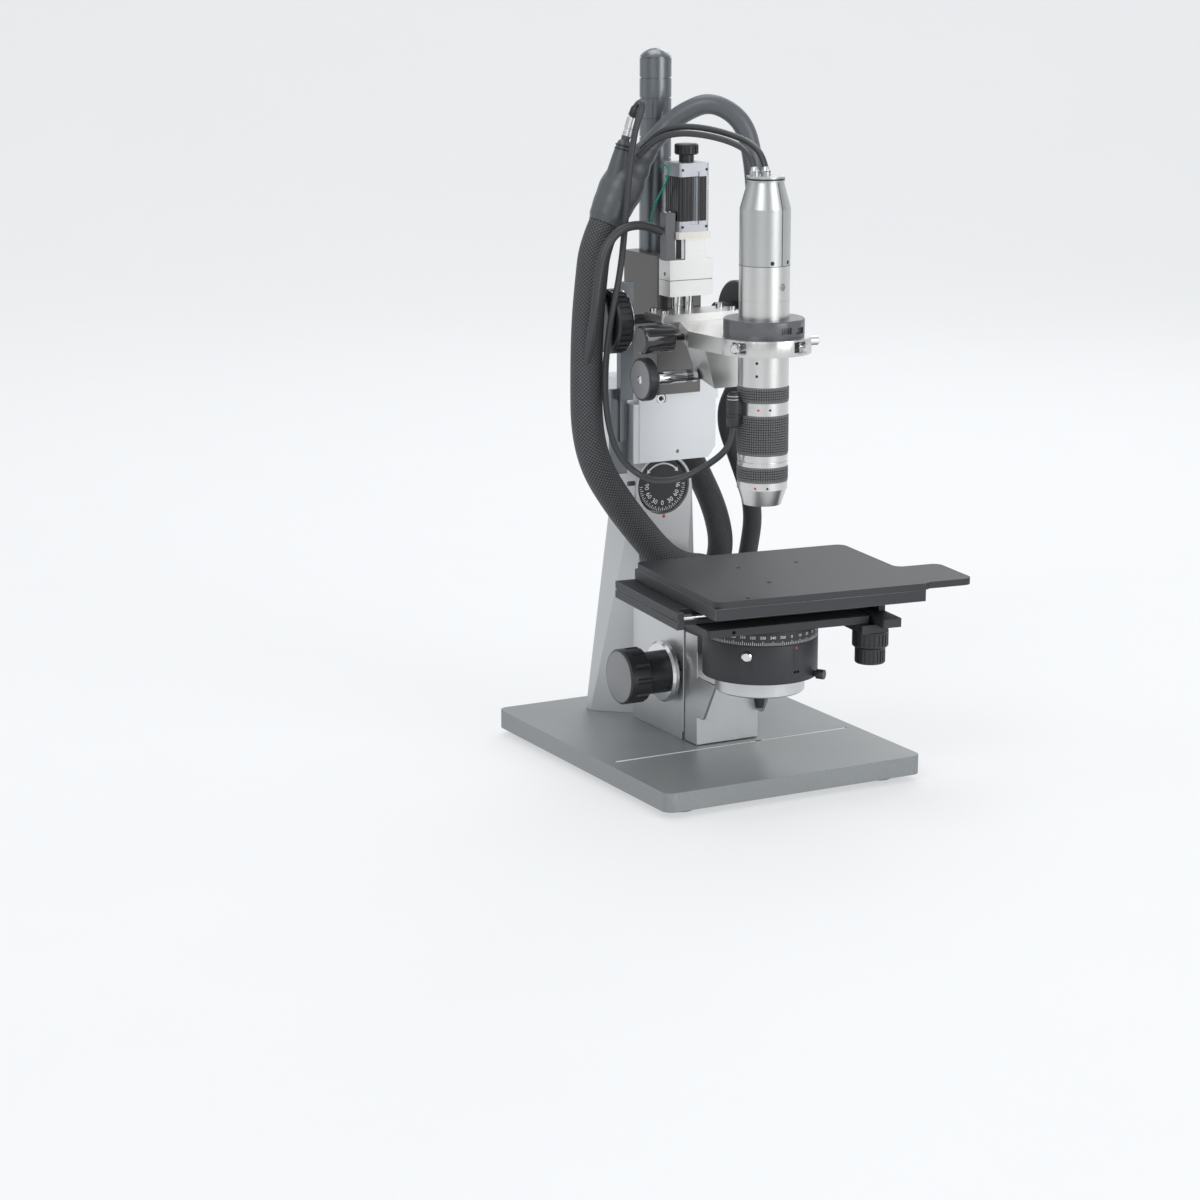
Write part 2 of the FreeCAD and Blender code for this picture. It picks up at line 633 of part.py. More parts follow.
def head_block():
    z1 = FACE_Z[1]
    back_front = FACE_Y + FACE_T
    front = box(HEAD_X, (FACE_Y, back_front), (z1, HEAD_TOP))
    rest = box((HEAD_X[0], -HEAD_X[0]), (back_front, CHEEK_BACK), (TILT_Z + HEAD_CLEAR, HEAD_TOP))
    cheek = box((-UP_TOP_R, UP_TOP_R), (UP_BACK + GAP + 0.2, CHEEK_BACK), (TILT_Z, HEAD_TOP))
    lobe = disc(UP_TOP_R, CHEEK_BACK - UP_BACK - GAP - 0.2, (0, UP_BACK + GAP + 0.2, TILT_Z), (0, 1, 0))
    body = front.fuse([rest, cheek, lobe]).removeSplitter()
    column = box((-COL_HALF, COL_HALF), (FACE_Y - 1, COL_Y[1]), (BASE_TOP + 285.0, HEAD_TOP + 1))
    sink = disc(SCREW_D / 2 + 1.2, 3.5, (-13.5, FACE_Y - 1, BASE_TOP + 280.5), (0, 1, 0))
    return body.cut(column).cut(sink)


def tilt_dial():
    face = UP_FRONT + DIAL_SINK
    dial = disc(DIAL_R, DIAL_T, (0, face, TILT_Z), (0, 1, 0))
    axle = disc(AXLE_R - FIT, UP_BACK + GAP + 0.2 - face, (0, face, TILT_Z), (0, 1, 0))
    return dial.fuse(axle).removeSplitter()


def column():
    body = rounded((-COL_HALF, COL_HALF), COL_Y, (BASE_TOP + 285.0, COL_TOP), 2.0)
    bore = disc(COARSE_SHAFT_D / 2 + FIT, 2 * COL_HALF + 2, (-COL_HALF - 1, COARSE_Y, COARSE_Z), (1, 0, 0))
    return body.cut(bore)


def pole():
    r = POLE_D / 2
    profile = [(0, COL_TOP), (r, COL_TOP)]
    for height in reversed(POLE_GROOVES):
        z = BASE_TOP + height
        half = POLE_GROOVE / 2
        profile += [(r, z - half), (r - 1.0, z - half), (r - 1.0, z + half), (r, z + half)]
    points = [vec(a, 0, z) for a, z in profile]
    shoulder = vec(r, 0, POLE_TOP - POLE_DOME)
    crown = vec(0, 0, POLE_TOP)
    dome_r = (r * r + POLE_DOME * POLE_DOME) / (2 * POLE_DOME)
    middle = vec(r / 2, 0, POLE_TOP - dome_r + math.sqrt(dome_r * dome_r - r * r / 4))
    edges = [Part.LineSegment(a, b).toShape() for a, b in zip(points, points[1:])]
    edges.append(Part.LineSegment(points[-1], shoulder).toShape())
    edges.append(Part.Arc(shoulder, middle, crown).toShape())
    edges.append(Part.LineSegment(crown, points[0]).toShape())
    body = Part.Face(Part.Wire(edges)).revolve(vec(0, 0, 0), vec(0, 0, 1), 360)
    body.translate(vec(0, POLE_Y, 0))
    return body


def side_rail():
    bar = box(BAR_X, (BAR_Y, BAR_Y + BAR_T), BAR_Z)
    tab = box(TAB_X, (BAR_Y + BAR_T, BAR_Y + BAR_T + TAB_T), TAB_Z)
    strip = box((TAB_X[0] + 7.5, TAB_X[1] - 1.5), (BAR_Y + BAR_T - 2.0, BAR_Y + BAR_T), (TAB_Z[0] + 28, BAR_Z[0]))
    return bar.fuse([tab, strip]).removeSplitter()


def coarse_knobs():
    left = COARSE_LEFT - COARSE_T
    right = COARSE_RIGHT[1]
    shaft = disc(COARSE_SHAFT_D / 2, right - left, (left, COARSE_Y, COARSE_Z), (1, 0, 0))
    hub = disc(COARSE_HUB_D / 2, right - COARSE_RIGHT[0], (COARSE_RIGHT[0], COARSE_Y, COARSE_Z), (1, 0, 0))
    knobs = []
    for x in (left, right):
        grip = disc(COARSE_D / 2, COARSE_T, (0, 0, 0))
        grip = grip.makeChamfer(1.5, [grip.Edges[0], grip.Edges[2]])
        groove = box((COARSE_D / 2 - 1.0, COARSE_D / 2 + 1), (-1.1, 1.1), (2.5, COARSE_T - 2.5))
        grip = grip.cut(Part.makeCompound(around(groove, 30)))
        knobs.append(lie_along_x(grip, x, COARSE_Y, COARSE_Z))
    return shaft.fuse([hub] + knobs).removeSplitter()


def z_block():
    body = box((-ZB_HALF, ZB_HALF), ZB_Y, ZB_Z)
    neck = box(NECK_X, ZB_Y, (ZB_Z[1], ZB_Z[1] + NECK_H))
    line = box((-ZB_HALF - 1, ZB_HALF + 1), (ZB_Y[0] - 1, ZB_Y[0] + 0.5), (ZB_LINE - 0.3, ZB_LINE + 0.3))
    body = body.fuse(neck).removeSplitter().cut(line)
    for x in GROD_X:
        body = body.cut(disc(GROD_D / 2 + FIT, GROD_IN + 8, (x, GROD_Y, ZB_Z[0] - 1)))
    side = disc(1.8, 5, (-ZB_HALF - 1, ZB_Y[0] + 9, ZB_Z[1] - 12), (1, 0, 0))
    return body.cut(side)


def motor_plate():
    z0 = ZB_Z[1] + NECK_H
    return box((-MPLATE_HALF, MPLATE_HALF), (MOTOR_Y - MPLATE_HALF, MOTOR_Y + MPLATE_HALF), (z0, z0 + MPLATE_T))


def motor_foot():
    return ZB_Z[1] + NECK_H + MPLATE_T


def square(side, z0, z1, radius):
    half = side / 2
    return rounded((-half, half), (MOTOR_Y - half, MOTOR_Y + half), (z0, z1), radius)


def motor():
    z0 = motor_foot() + MCAP_LOW
    z1 = motor_foot() + MOTOR_H - MCAP_HIGH
    body = square(MOTOR_SIDE - 1.0, z0, z1, 2.5)
    half = MOTOR_SIDE / 2 - 0.5
    for i in range(-3, 4):
        for side in (-1, 1):
            body = body.cut(disc(MFLUTE_R, z1 - z0, (i * 3.4, MOTOR_Y + side * (half + 0.5), z0)))
            body = body.cut(disc(MFLUTE_R, z1 - z0, (side * (half + 0.5), MOTOR_Y + i * 3.4, z0)))
    return body


def motor_caps():
    z0 = motor_foot()
    z1 = z0 + MOTOR_H
    low = square(MOTOR_SIDE, z0, z0 + MCAP_LOW, 2.0)
    high = square(MOTOR_SIDE, z1 - MCAP_HIGH, z1, 2.0)
    half = MOTOR_SIDE / 2
    for side in (-1, 1):
        ys = sorted((MOTOR_Y + side * (half + 1), MOTOR_Y + side * (half - 1.2)))
        low = low.cut(box((-MCAP_NOTCH / 2, MCAP_NOTCH / 2), ys, (z0 + MCAP_LOW - 3.0, z0 + MCAP_LOW + 1)))
        high = high.cut(box((-MCAP_NOTCH / 2, MCAP_NOTCH / 2), ys, (z1 - MCAP_HIGH - 1, z1 - MCAP_HIGH + 4.0)))
    return Part.makeCompound([low, high])


def connector_box():
    z0 = ZB_Z[1]
    body = box((-ZB_HALF, CBOX_X[1]), CBOX_Y, (z0, z0 + 1.0))
    return body.fuse(box(CBOX_X, CBOX_Y, (z0, z0 + CBOX_H))).removeSplitter()


def motor_knob():
    z0 = motor_foot() + MOTOR_H + GAP
    neck = disc(MKNOB_NECK_D / 2, MKNOB_NECK_L, (0, 0, z0))
    head = disc(MKNOB_D / 2, MKNOB_T, (0, 0, z0 + MKNOB_NECK_L))
    head = head.makeChamfer(1.0, [head.Edges[0], head.Edges[2]])
    groove = box((MKNOB_D / 2 - 0.6, MKNOB_D / 2 + 1), (-0.6, 0.6), (z0 + MKNOB_NECK_L + 1.5, z0 + MKNOB_NECK_L + MKNOB_T - 1.5))
    head = head.cut(Part.makeCompound(around(groove, 20)))
    body = head.fuse(neck).removeSplitter()
    body.translate(vec(0, MOTOR_Y, 0))
    return body


def arm_plate():
    return rounded((-APLATE_HALF, APLATE_HALF), APLATE_Y, (APLATE_Z, APLATE_Z + APLATE_T), 3.0)


def arm_screws():
    heads = []
    mid = (APLATE_Y[0] + APLATE_Y[1]) / 2
    z0 = APLATE_Z + APLATE_T
    for sx in (-1, 1):
        for sy in (-1, 1):
            head = disc(ASCREW_D / 2, ASCREW_H, (sx * ASCREW_X, mid + sy * ASCREW_DY, z0))
            socket = disc(ASCREW_D / 4, 2, (sx * ASCREW_X, mid + sy * ASCREW_DY, z0 + ASCREW_H - 1.8))
            heads.append(head.cut(socket))
    return Part.makeCompound(heads)


def guide_rods():
    z0 = APLATE_Z + APLATE_T
    rods = [disc(GROD_D / 2, ZB_Z[0] - z0 + GROD_IN, (x, GROD_Y, z0)) for x in GROD_X]
    return Part.makeCompound(rods)


def arm():
    z0 = APLATE_Z - ARM_T
    tail = [(-ARM_TAIL, ARM_TAIL_Y), (-ARM_WIDE, ARM_WIDE_Y), (-ARM_R, LENS_Y), (ARM_R, LENS_Y), (ARM_WIDE, ARM_WIDE_Y),
            (ARM_TAIL, ARM_TAIL_Y)]
    plate = prism(tail, z0, ARM_T).fuse(disc(ARM_R, ARM_T, (0, LENS_Y, z0)))
    under = box((-ARM_TAIL, ARM_TAIL), (ARM_TAIL_Y - 4, APLATE_Y[1] - 2), (z0 + ARM_T / 2, z0 + ARM_T))
    body = plate.fuse([under, gusset(z0)]).removeSplitter()
    body = body.cut(disc(ARM_BORE_R, ARM_T + 2, (0, LENS_Y, z0 - 1)))
    seat = disc(DISC_SHAFT_D / 2 + FIT, 20, (DISC_SHAFT_END + GAP - 20, DISC_KNOB_Y, DISC_KNOB_Z), (1, 0, 0))
    body = body.cut(seat)
    for turn in CSCREW_TURNS:
        half = CSCREW_SLOT / 2
        slot = box((ARM_R - 6, ARM_R + 6), (-half - 2, half + 2), (z0 + 3.2, z0 + 3.2 + CSCREW_D + 0.8))
        body = body.cut(about_lens(slot, turn))
    return body


def gusset(top):
    """The tapered bracket under the arm."""
    y0, y1 = GUSSET_Y
    wide, narrow = GUSSET_HALF
    wires = []
    for y, low in ((y0, top - GUSSET_H), (y1, top - GUSSET_H + GUSSET_RISE)):
        corners = ((-wide, top), (wide, top), (narrow, low), (-narrow, low), (-wide, top))
        wires.append(Part.makePolygon([vec(x, y, z) for x, z in corners]))
    return Part.makeLoft(wires, True, True)


def centring_screws():
    z = APLATE_Z - ARM_T + 3.6 + CSCREW_D / 2
    screws = []
    for turn in CSCREW_TURNS:
        screw = disc(CSCREW_D / 2, CSCREW_OUT + 6.0, (ARM_R - 6.0, 0, z), (1, 0, 0))
        screw = screw.makeChamfer(0.8, [screw.Edges[0]])
        screws.append(about_lens(screw, turn))
    return Part.makeCompound(screws)


def adapter_disc():
    z0 = APLATE_Z
    body = disc(ADAPT_R, ADAPT_H, (0, LENS_Y, z0))
    body = body.makeChamfer(0.8, [body.Edges[0]])
    flat = box((ADAPT_R - 1.0, ADAPT_R + 5), (-14, 14), (z0 - 1, z0 + ADAPT_H + 1))
    notch = box((ADAPT_R - 3.0, ADAPT_R + 5), (-6, 6), (z0 + 3.5, z0 + 8.5))
    for turn in (-72.0, 18.0, 108.0, -162.0):
        body = body.cut(about_lens(flat.copy(), turn))
    body = body.cut(about_lens(notch, -58.0))
    return body.cut(disc(LENS_BORE_R, ADAPT_H, (0, LENS_Y, z0)))


def camera_tube():
    z0 = APLATE_Z + ADAPT_H
    body = disc(CTUBE_R, CTUBE_H, (0, LENS_Y, z0))
    line = turned([(CTUBE_R - 0.4, z0 + 14.5), (CTUBE_R + 1, z0 + 14.5), (CTUBE_R + 1, z0 + 15.1), (CTUBE_R - 0.4, z0 + 15.1)],
                  (0, LENS_Y))
    hole = about_lens(disc(3.0, 6, (CTUBE_R - 3, 0, z0 + 26.0), (1, 0, 0)), -76.0)
    return body.cut(line).cut(hole).cut(disc(LENS_BORE_R, CTUBE_H, (0, LENS_Y, z0)))


def camera_barrel():
    z0 = APLATE_Z + ADAPT_H + CTUBE_H
    z1 = z0 + CBARREL_H
    z2 = z1 + CCONE_H
    z3 = z2 + CCAP_H
    profile = [(0, z0), (CTUBE_R, z0), (CTUBE_R, z1), (CCONE_R, z2), (CCONE_R + 0.8, z2), (CCONE_R + 0.8, z3), (0, z3)]
    body = turned(profile, (0, LENS_Y))
    for x, y in BOSSES:
        body = body.fuse(disc(BOSS_D / 2, BOSS_H, (x, y, z3)))
    return body.removeSplitter()


def lens_barrel():
    def z(height):
        return BASE_TOP + height
    r, core = LENS_R, LENS_CORE_R
    profile = [(LENS_BORE_R, z(LENS_TOP)), (r, z(LENS_TOP)), (r, z(LENS_BARREL_LOW)), (core, z(LENS_BARREL_LOW)),
               (core, z(UPPER_RING[0] - GAP)), (r, z(UPPER_RING[0] - GAP)), (r, z(ZOOM_RING[1] + GAP)), (core, z(ZOOM_RING[1] + GAP)),
               (core, z(ZOOM_RING[0] - GAP)), (r, z(ZOOM_RING[0] - GAP)),
               (r, z(LENS_GROOVE_Z + 1)), (r - 0.7, z(LENS_GROOVE_Z + 1)), (r - 0.7, z(LENS_GROOVE_Z - 1)), (r, z(LENS_GROOVE_Z - 1)),
               (r, z(LOWER_RING[1] + GAP)), (core, z(LOWER_RING[1] + GAP)), (core, z(LOWER_RING[0] - GAP)),
               (r, z(LOWER_RING[0] - GAP)), (r, z(NOSE_TOP)), (r - 0.5, z(NOSE_TOP)), (NOSE_R, z(NOSE_LOW)),
               (LENS_BORE_R, z(NOSE_LOW))]
    return turned(profile, (0, LENS_Y))


def lens_ring(span):
    """A ribbed ring that turns on the lens barrel."""
    z0, z1 = BASE_TOP + span[0], BASE_TOP + span[1]
    inner = LENS_CORE_R + FIT
    r = LENS_RING_R
    profile = [(inner, z0), (r - 0.5, z0), (r, z0 + 0.5), (r, z1 - 0.5), (r - 0.5, z1), (inner, z1)]
    return turned(profile, (0, LENS_Y))


def lens_plug():
    z0, z1 = PLUG_Z
    r = PLUG_D / 2
    body = turned([(0, z0), (r - 1, z0), (r, z0 + 1.5), (r, z1 - 1), (r - 1, z1), (0, z1)], (PLUG_X, LENS_Y))
    bridge = box((PLUG_X, -LENS_R), (LENS_Y - 2.5, LENS_Y + 2.5), (BASE_TOP + 290.0, BASE_TOP + 297.5))
    return body.fuse(bridge).removeSplitter()


def clamp_knob():
    x0, x1 = CLAMP_X
    length = x1 - x0
    grip = disc(CLAMP_D / 2, length, (0, 0, 0))
    grip = grip.makeChamfer(1.5, [grip.Edges[0], grip.Edges[2]])
    flute = disc(2.4, length - 4, (CLAMP_D / 2 + 0.9, 0, 4))
    grip = grip.cut(Part.makeCompound(around(flute, CLAMP_LOBES)))
    stud = disc(3.0, CLAMP_STUD_END - x1, (0, 0, length))
    return lie_along_x(grip.fuse(stud).removeSplitter(), x0, CLAMP_Y, CLAMP_Z)


def disc_knob():
    grip = disc(DISC_KNOB_D / 2, DISC_KNOB_T, (0, 0, 0))
    grip = grip.makeChamfer(0.8, [grip.Edges[0], grip.Edges[2]])
    shaft = disc(DISC_SHAFT_D / 2, DISC_SHAFT_END - DISC_KNOB_X - DISC_KNOB_T, (0, 0, DISC_KNOB_T))
    hub = disc(DISC_SHAFT_D / 2 + 2, 5, (0, 0, DISC_KNOB_T))
    collar = disc(DISC_SHAFT_D / 2 + 1.2, 6, (0, 0, DISC_SHAFT_END - DISC_KNOB_X - 17))
    return lie_along_x(grip.fuse([shaft, hub, collar]).removeSplitter(), DISC_KNOB_X, DISC_KNOB_Y, DISC_KNOB_Z)


def hose_fork():
    """The moulded boot where the cords part: a tapered body lofted along its line."""
    wires = []
    stations = (FORK_TOP, FORK_NECK, FORK_LOW)
    for i, (at, radius) in enumerate(zip(stations, FORK_R)):
        ahead = vec(*stations[max(i - 1, 0)])
        behind = vec(*stations[min(i + 1, 2)])
        wires.append(Part.Wire(Part.makeCircle(radius, vec(*at), ahead - behind)))
    top, low = vec(*SOCKET_TOP), vec(*SOCKET_LOW)
    socket = Part.makeCylinder(SOCKET_R, (top - low).Length, low, top - low)
    return Part.makeLoft(wires, True).fuse(socket).removeSplitter()


def end_plugs():
    """The plugs on the far ends of the three hoses, each in line with its hose and resting on the table."""
    plugs = []
    for route, diameter in ((MAIN_HOSE, HOSE_D), (LEFT_SLEEVE, LEFT_SLEEVE_D), (REAR_SLEEVE, REAR_SLEEVE_D)):
        end = vec(*route[-1])
        along = end - vec(*route[-2])
        along.normalize()
        r = diameter / 2
        body = Part.makeCylinder(r, END_PLUG_L / 2, end, along)
        nose = Part.makeCylinder(r - END_PLUG_RIM, END_PLUG_L / 2, end + along * (END_PLUG_L / 2), along)
        plugs.append(body.fuse(nose).removeSplitter())
    return Part.makeCompound(plugs)


def main():
    os.makedirs("parts", exist_ok=True)
    drop_top = PLATE_Z - GAP - BRACKET_LOW_T - GAP
    shapes = {
        "base_plate": base_plate(),
        "base_feet": base_feet(),
        "upright": upright(),
        "side_screws": side_screws(),
        "lift_block": lift_block(),
        "lift_knob_disc": lift_knob_disc(),
        "lift_knob_grip": lift_knob_grip(),
        "lift_carriage": lift_carriage(),
        "foot_disc": foot_disc(),
        "ring_housing": ring_housing(),
        "ring_button": ring_button(),
        "ring_knob": ring_knob(),
        "cone_knob": cone_knob(),
        "scale_ring": scale_ring(),
        "lower_plate": lower_plate(),
        "y_frame": y_frame(),
        "y_rod": y_rod(),
        "y_bracket": y_bracket(),
        "drop_knob_upper": drop_knob(DROP_UPPER_D, drop_top),
        "drop_knob_lower": drop_knob(DROP_LOWER_D, drop_top - DROP_H - GAP),
        "x_plate": x_plate(),
        "stage_top": stage_top(),
        "head_plate": head_plate(),
        "head_block": head_block(),
        "tilt_dial": tilt_dial(),
        "column": column(),
        "pole": pole(),
        "side_rail": side_rail(),
        "coarse_knobs": coarse_knobs(),
        "z_block": z_block(),
        "motor_plate": motor_plate(),
        "motor": motor(),
        "motor_caps": motor_caps(),
        "connector_box": connector_box(),
        "motor_knob": motor_knob(),
        "arm_plate": arm_plate(),
        "arm_screws": arm_screws(),
        "guide_rods": guide_rods(),
        "arm": arm(),
        "centring_screws": centring_screws(),
        "adapter_disc": adapter_disc(),
        "camera_tube": camera_tube(),
        "camera_barrel": camera_barrel(),
        "lens_barrel": lens_barrel(),
        "lens_ring_upper": lens_ring(UPPER_RING),
        "lens_ring_zoom": lens_ring(ZOOM_RING),
        "lens_ring_lower": lens_ring(LOWER_RING),
        "lens_plug": lens_plug(),
        "clamp_knob": clamp_knob(),
        "disc_knob": disc_knob(),
        "hose_fork": hose_fork(),
        "end_plugs": end_plugs(),
        "main_hose": cord("main_hose", MAIN_HOSE, HOSE_D),
        "left_sleeve": cord("left_sleeve", LEFT_SLEEVE, LEFT_SLEEVE_D),
        "rear_sleeve": cord("rear_sleeve", REAR_SLEEVE, REAR_SLEEVE_D),
        "camera_lead_1": cord("camera_lead_1", LEAD_1, LEAD_D),
        "camera_lead_2": cord("camera_lead_2", LEAD_2, LEAD_D),
        "lens_cord": cord("lens_cord", LENS_CORD, LEAD_D),
        "motor_cord": cord("motor_cord", MOTOR_CORD, MOTOR_CORD_D),
    }
    for name, solid in shapes.items():
        save(name, solid)


main()
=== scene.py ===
import bpy
import bmesh
import math
from mathutils import Matrix, Vector

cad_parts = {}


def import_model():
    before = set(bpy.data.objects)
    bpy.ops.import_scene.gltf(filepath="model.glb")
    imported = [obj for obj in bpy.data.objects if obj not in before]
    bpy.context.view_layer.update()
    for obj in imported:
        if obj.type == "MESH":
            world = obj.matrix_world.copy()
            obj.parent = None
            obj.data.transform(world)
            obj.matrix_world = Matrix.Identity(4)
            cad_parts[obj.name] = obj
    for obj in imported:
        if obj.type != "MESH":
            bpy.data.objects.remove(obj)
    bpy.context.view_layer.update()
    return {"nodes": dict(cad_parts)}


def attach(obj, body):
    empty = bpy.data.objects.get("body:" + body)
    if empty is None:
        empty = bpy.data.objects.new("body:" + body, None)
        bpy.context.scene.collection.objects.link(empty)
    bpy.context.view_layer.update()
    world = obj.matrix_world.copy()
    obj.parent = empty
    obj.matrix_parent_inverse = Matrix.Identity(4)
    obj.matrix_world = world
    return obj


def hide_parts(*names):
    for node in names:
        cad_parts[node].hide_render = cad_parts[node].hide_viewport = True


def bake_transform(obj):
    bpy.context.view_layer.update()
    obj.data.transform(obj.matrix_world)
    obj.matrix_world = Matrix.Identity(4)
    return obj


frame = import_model()
NODES = frame["nodes"]
MM = 0.001

# places shared with the source, in millimetres
LENS_Y = -90.0
BASE_TOP = 22.0
TILT_Z = BASE_TOP + 201.0
UP_FRONT = 72.0
DIAL_FACE = UP_FRONT + 2.5
MOTOR_Y = 36.6
MOTOR_FOOT = 446.0
ARM_TOP = BASE_TOP + 351.6
BARREL_R = 20.3
BARREL_FOOT = 430.3
BARREL_TOP = 498.0
PLUG_X = -27.5
PLUG_Z = BASE_TOP + 279.5
DISC_KNOB_AXLE = (-18.0, BASE_TOP + 311.0)
DISC_KNOB_X = -73.6
LIFT_AXLE = (6.0, BASE_TOP + 56.0)
LIFT_FACE_X = -80.0
COARSE_AXLE = (51.0, 372.0)
SCALE_R = 47.56


# camera
def camera():
    """The photograph's camera: its place in metres and its axes were fitted to the stand's edges."""
    right = Vector((0.8805, -0.4741, 0.0)).normalized()
    back = Vector((-0.4619, -0.8579, 0.2250)).normalized()
    up = back.cross(right).normalized()
    data = bpy.data.cameras.new("camera")
    data.lens = 93.0
    data.sensor_width = 36.0
    data.clip_start = 0.05
    data.clip_end = 40.0
    cam = bpy.data.objects.new("camera", data)
    turn = Matrix((right, up, back)).transposed().to_4x4()
    cam.matrix_world = Matrix.Translation((-1.2901, -2.2082, 0.7270)) @ turn
    bpy.context.scene.collection.objects.link(cam)
    bpy.context.scene.camera = cam


camera()


# materials
def material(name, colour, metallic, rough, grain, stretch, bump, vary, coat=0.0):
    """One finish: fine grain moves its roughness and relief, and its colour also over wider patches."""
    mat = bpy.data.materials.new(name)
    mat.use_nodes = True
    nodes, links = mat.node_tree.nodes, mat.node_tree.links
    shader = nodes["Principled BSDF"]
    shader.inputs["Metallic"].default_value = metallic
    shader.inputs["Coat Weight"].default_value = coat
    coord = nodes.new("ShaderNodeTexCoord")
    mapping = nodes.new("ShaderNodeMapping")
    mapping.inputs["Scale"].default_value = stretch
    noise = nodes.new("ShaderNodeTexNoise")
    noise.inputs["Scale"].default_value = 1.0
    noise.inputs["Detail"].default_value = 3.0
    links.new(coord.outputs["Object"], mapping.inputs["Vector"])
    links.new(mapping.outputs["Vector"], noise.inputs["Vector"])
    wide = nodes.new("ShaderNodeTexNoise")
    wide.inputs["Scale"].default_value = 9.0
    wide.inputs["Detail"].default_value = 2.0
    links.new(coord.outputs["Object"], wide.inputs["Vector"])
    patches = nodes.new("ShaderNodeMath")
    patches.operation = "MULTIPLY"
    links.new(noise.outputs["Fac"], patches.inputs[0])
    links.new(wide.outputs["Fac"], patches.inputs[1])
    mix = nodes.new("ShaderNodeMix")
    mix.data_type = "RGBA"
    mix.inputs["A"].default_value = [c * (1 - vary) for c in colour] + [1]
    mix.inputs["B"].default_value = [min(1.0, c * (1 + vary)) for c in colour] + [1]
    spread = nodes.new("ShaderNodeMapRange")
    spread.inputs["From Min"].default_value = 0.12
    spread.inputs["From Max"].default_value = 0.42
    links.new(patches.outputs["Value"], spread.inputs["Value"])
    links.new(spread.outputs["Result"], mix.inputs["Factor"])
    links.new(mix.outputs["Result"], shader.inputs["Base Color"])
    roughness = nodes.new("ShaderNodeMapRange")
    roughness.inputs["To Min"].default_value = max(0.02, rough - grain)
    roughness.inputs["To Max"].default_value = rough + grain
    links.new(noise.outputs["Fac"], roughness.inputs["Value"])
    links.new(roughness.outputs["Result"], shader.inputs["Roughness"])
    if bump:
        relief = nodes.new("ShaderNodeBump")
        relief.inputs["Strength"].default_value = bump
        relief.inputs["Distance"].default_value = 0.0002
        links.new(noise.outputs["Fac"], relief.inputs["Height"])
        links.new(relief.outputs["Normal"], shader.inputs["Normal"])
    return mat


def braid(name, dark, light, around, along):
    """Woven sleeve: bands that cross by the tube's own map, so many a turn and a diameter of length."""
    mat = bpy.data.materials.new(name)
    mat.use_nodes = True
    nodes, links = mat.node_tree.nodes, mat.node_tree.links
    shader = nodes["Principled BSDF"]
    uv = nodes.new("ShaderNodeUVMap")
    uv.uv_map = "map"
    split = nodes.new("ShaderNodeSeparateXYZ")
    links.new(uv.outputs["UV"], split.inputs["Vector"])
    waves = []
    for axis, count in (("X", around), ("Y", along)):
        scaled = nodes.new("ShaderNodeMath")
        scaled.operation = "MULTIPLY"
        scaled.inputs[1].default_value = count * math.pi
        links.new(split.outputs[axis], scaled.inputs[0])
        wave = nodes.new("ShaderNodeMath")
        wave.operation = "SINE"
        links.new(scaled.outputs["Value"], wave.inputs[0])
        waves.append(wave)
    product = nodes.new("ShaderNodeMath")
    product.operation = "MULTIPLY"
    links.new(waves[0].outputs["Value"], product.inputs[0])
    links.new(waves[1].outputs["Value"], product.inputs[1])
    level = nodes.new("ShaderNodeMapRange")
    level.inputs["From Min"].default_value = -0.6
    level.inputs["From Max"].default_value = 0.6
    links.new(product.outputs["Value"], level.inputs["Value"])
    mix = nodes.new("ShaderNodeMix")
    mix.data_type = "RGBA"
    mix.inputs["A"].default_value = list(dark) + [1]
    mix.inputs["B"].default_value = list(light) + [1]
    links.new(level.outputs["Result"], mix.inputs["Factor"])
    links.new(mix.outputs["Result"], shader.inputs["Base Color"])
    relief = nodes.new("ShaderNodeBump")
    relief.inputs["Strength"].default_value = 0.7
    relief.inputs["Distance"].default_value = 0.0006
    links.new(level.outputs["Result"], relief.inputs["Height"])
    links.new(relief.outputs["Normal"], shader.inputs["Normal"])
    shader.inputs["Roughness"].default_value = 0.55
    return mat


# name, colour, metallic, roughness, its spread, stretch of the grain, relief, spread of the colour, coat
SILVER = material("silver_satin", (0.60, 0.61, 0.62), 0.85, 0.38, 0.05, (60, 1500, 60), 0.10, 0.03)
BRIGHT = material("silver_bright", (0.60, 0.60, 0.59), 0.9, 0.32, 0.05, (60, 60, 1500), 0.06, 0.03)
TURNED = material("silver_turned", (0.64, 0.64, 0.632), 1.0, 0.28, 0.008, (2, 2, 500), 0.0, 0.01)
CHROME = material("chrome", (0.68, 0.68, 0.69), 1.0, 0.10, 0.03, (500, 500, 500), 0.0, 0.02)
UPRIGHT = material("upright_paint", (0.52, 0.53, 0.54), 0.55, 0.42, 0.05, (900, 900, 900), 0.12, 0.03)
FACE = material("head_face", (0.66, 0.68, 0.70), 0.6, 0.40, 0.05, (900, 900, 900), 0.10, 0.02)
BASE = material("base_paint", (0.25, 0.265, 0.27), 0.35, 0.42, 0.07, (700, 700, 700), 0.16, 0.08)
ANODISED = material("black_anodised", (0.025, 0.027, 0.031), 0.0, 0.52, 0.06, (1400, 1400, 1400), 0.14, 0.12)
GREY_ANODISED = material("grey_anodised", (0.125, 0.129, 0.138), 0.4, 0.34, 0.05, (900, 900, 900), 0.08, 0.08)
# lighter grey for the eased edges of black anodised parts: painted edge highlight
EDGE_HIGHLIGHT = material("anodised_painted_edge_highlight", (0.11, 0.11, 0.12), 0.4, 0.40, 0.08, (250, 250, 250), 0.0, 0.45)
BLACK = material("black_plastic", (0.022, 0.023, 0.026), 0.0, 0.38, 0.05, (900, 900, 900), 0.10, 0.10)
GLOSSY = material("black_glossy", (0.018, 0.018, 0.020), 0.0, 0.16, 0.04, (300, 300, 300), 0.0, 0.10, 0.4)
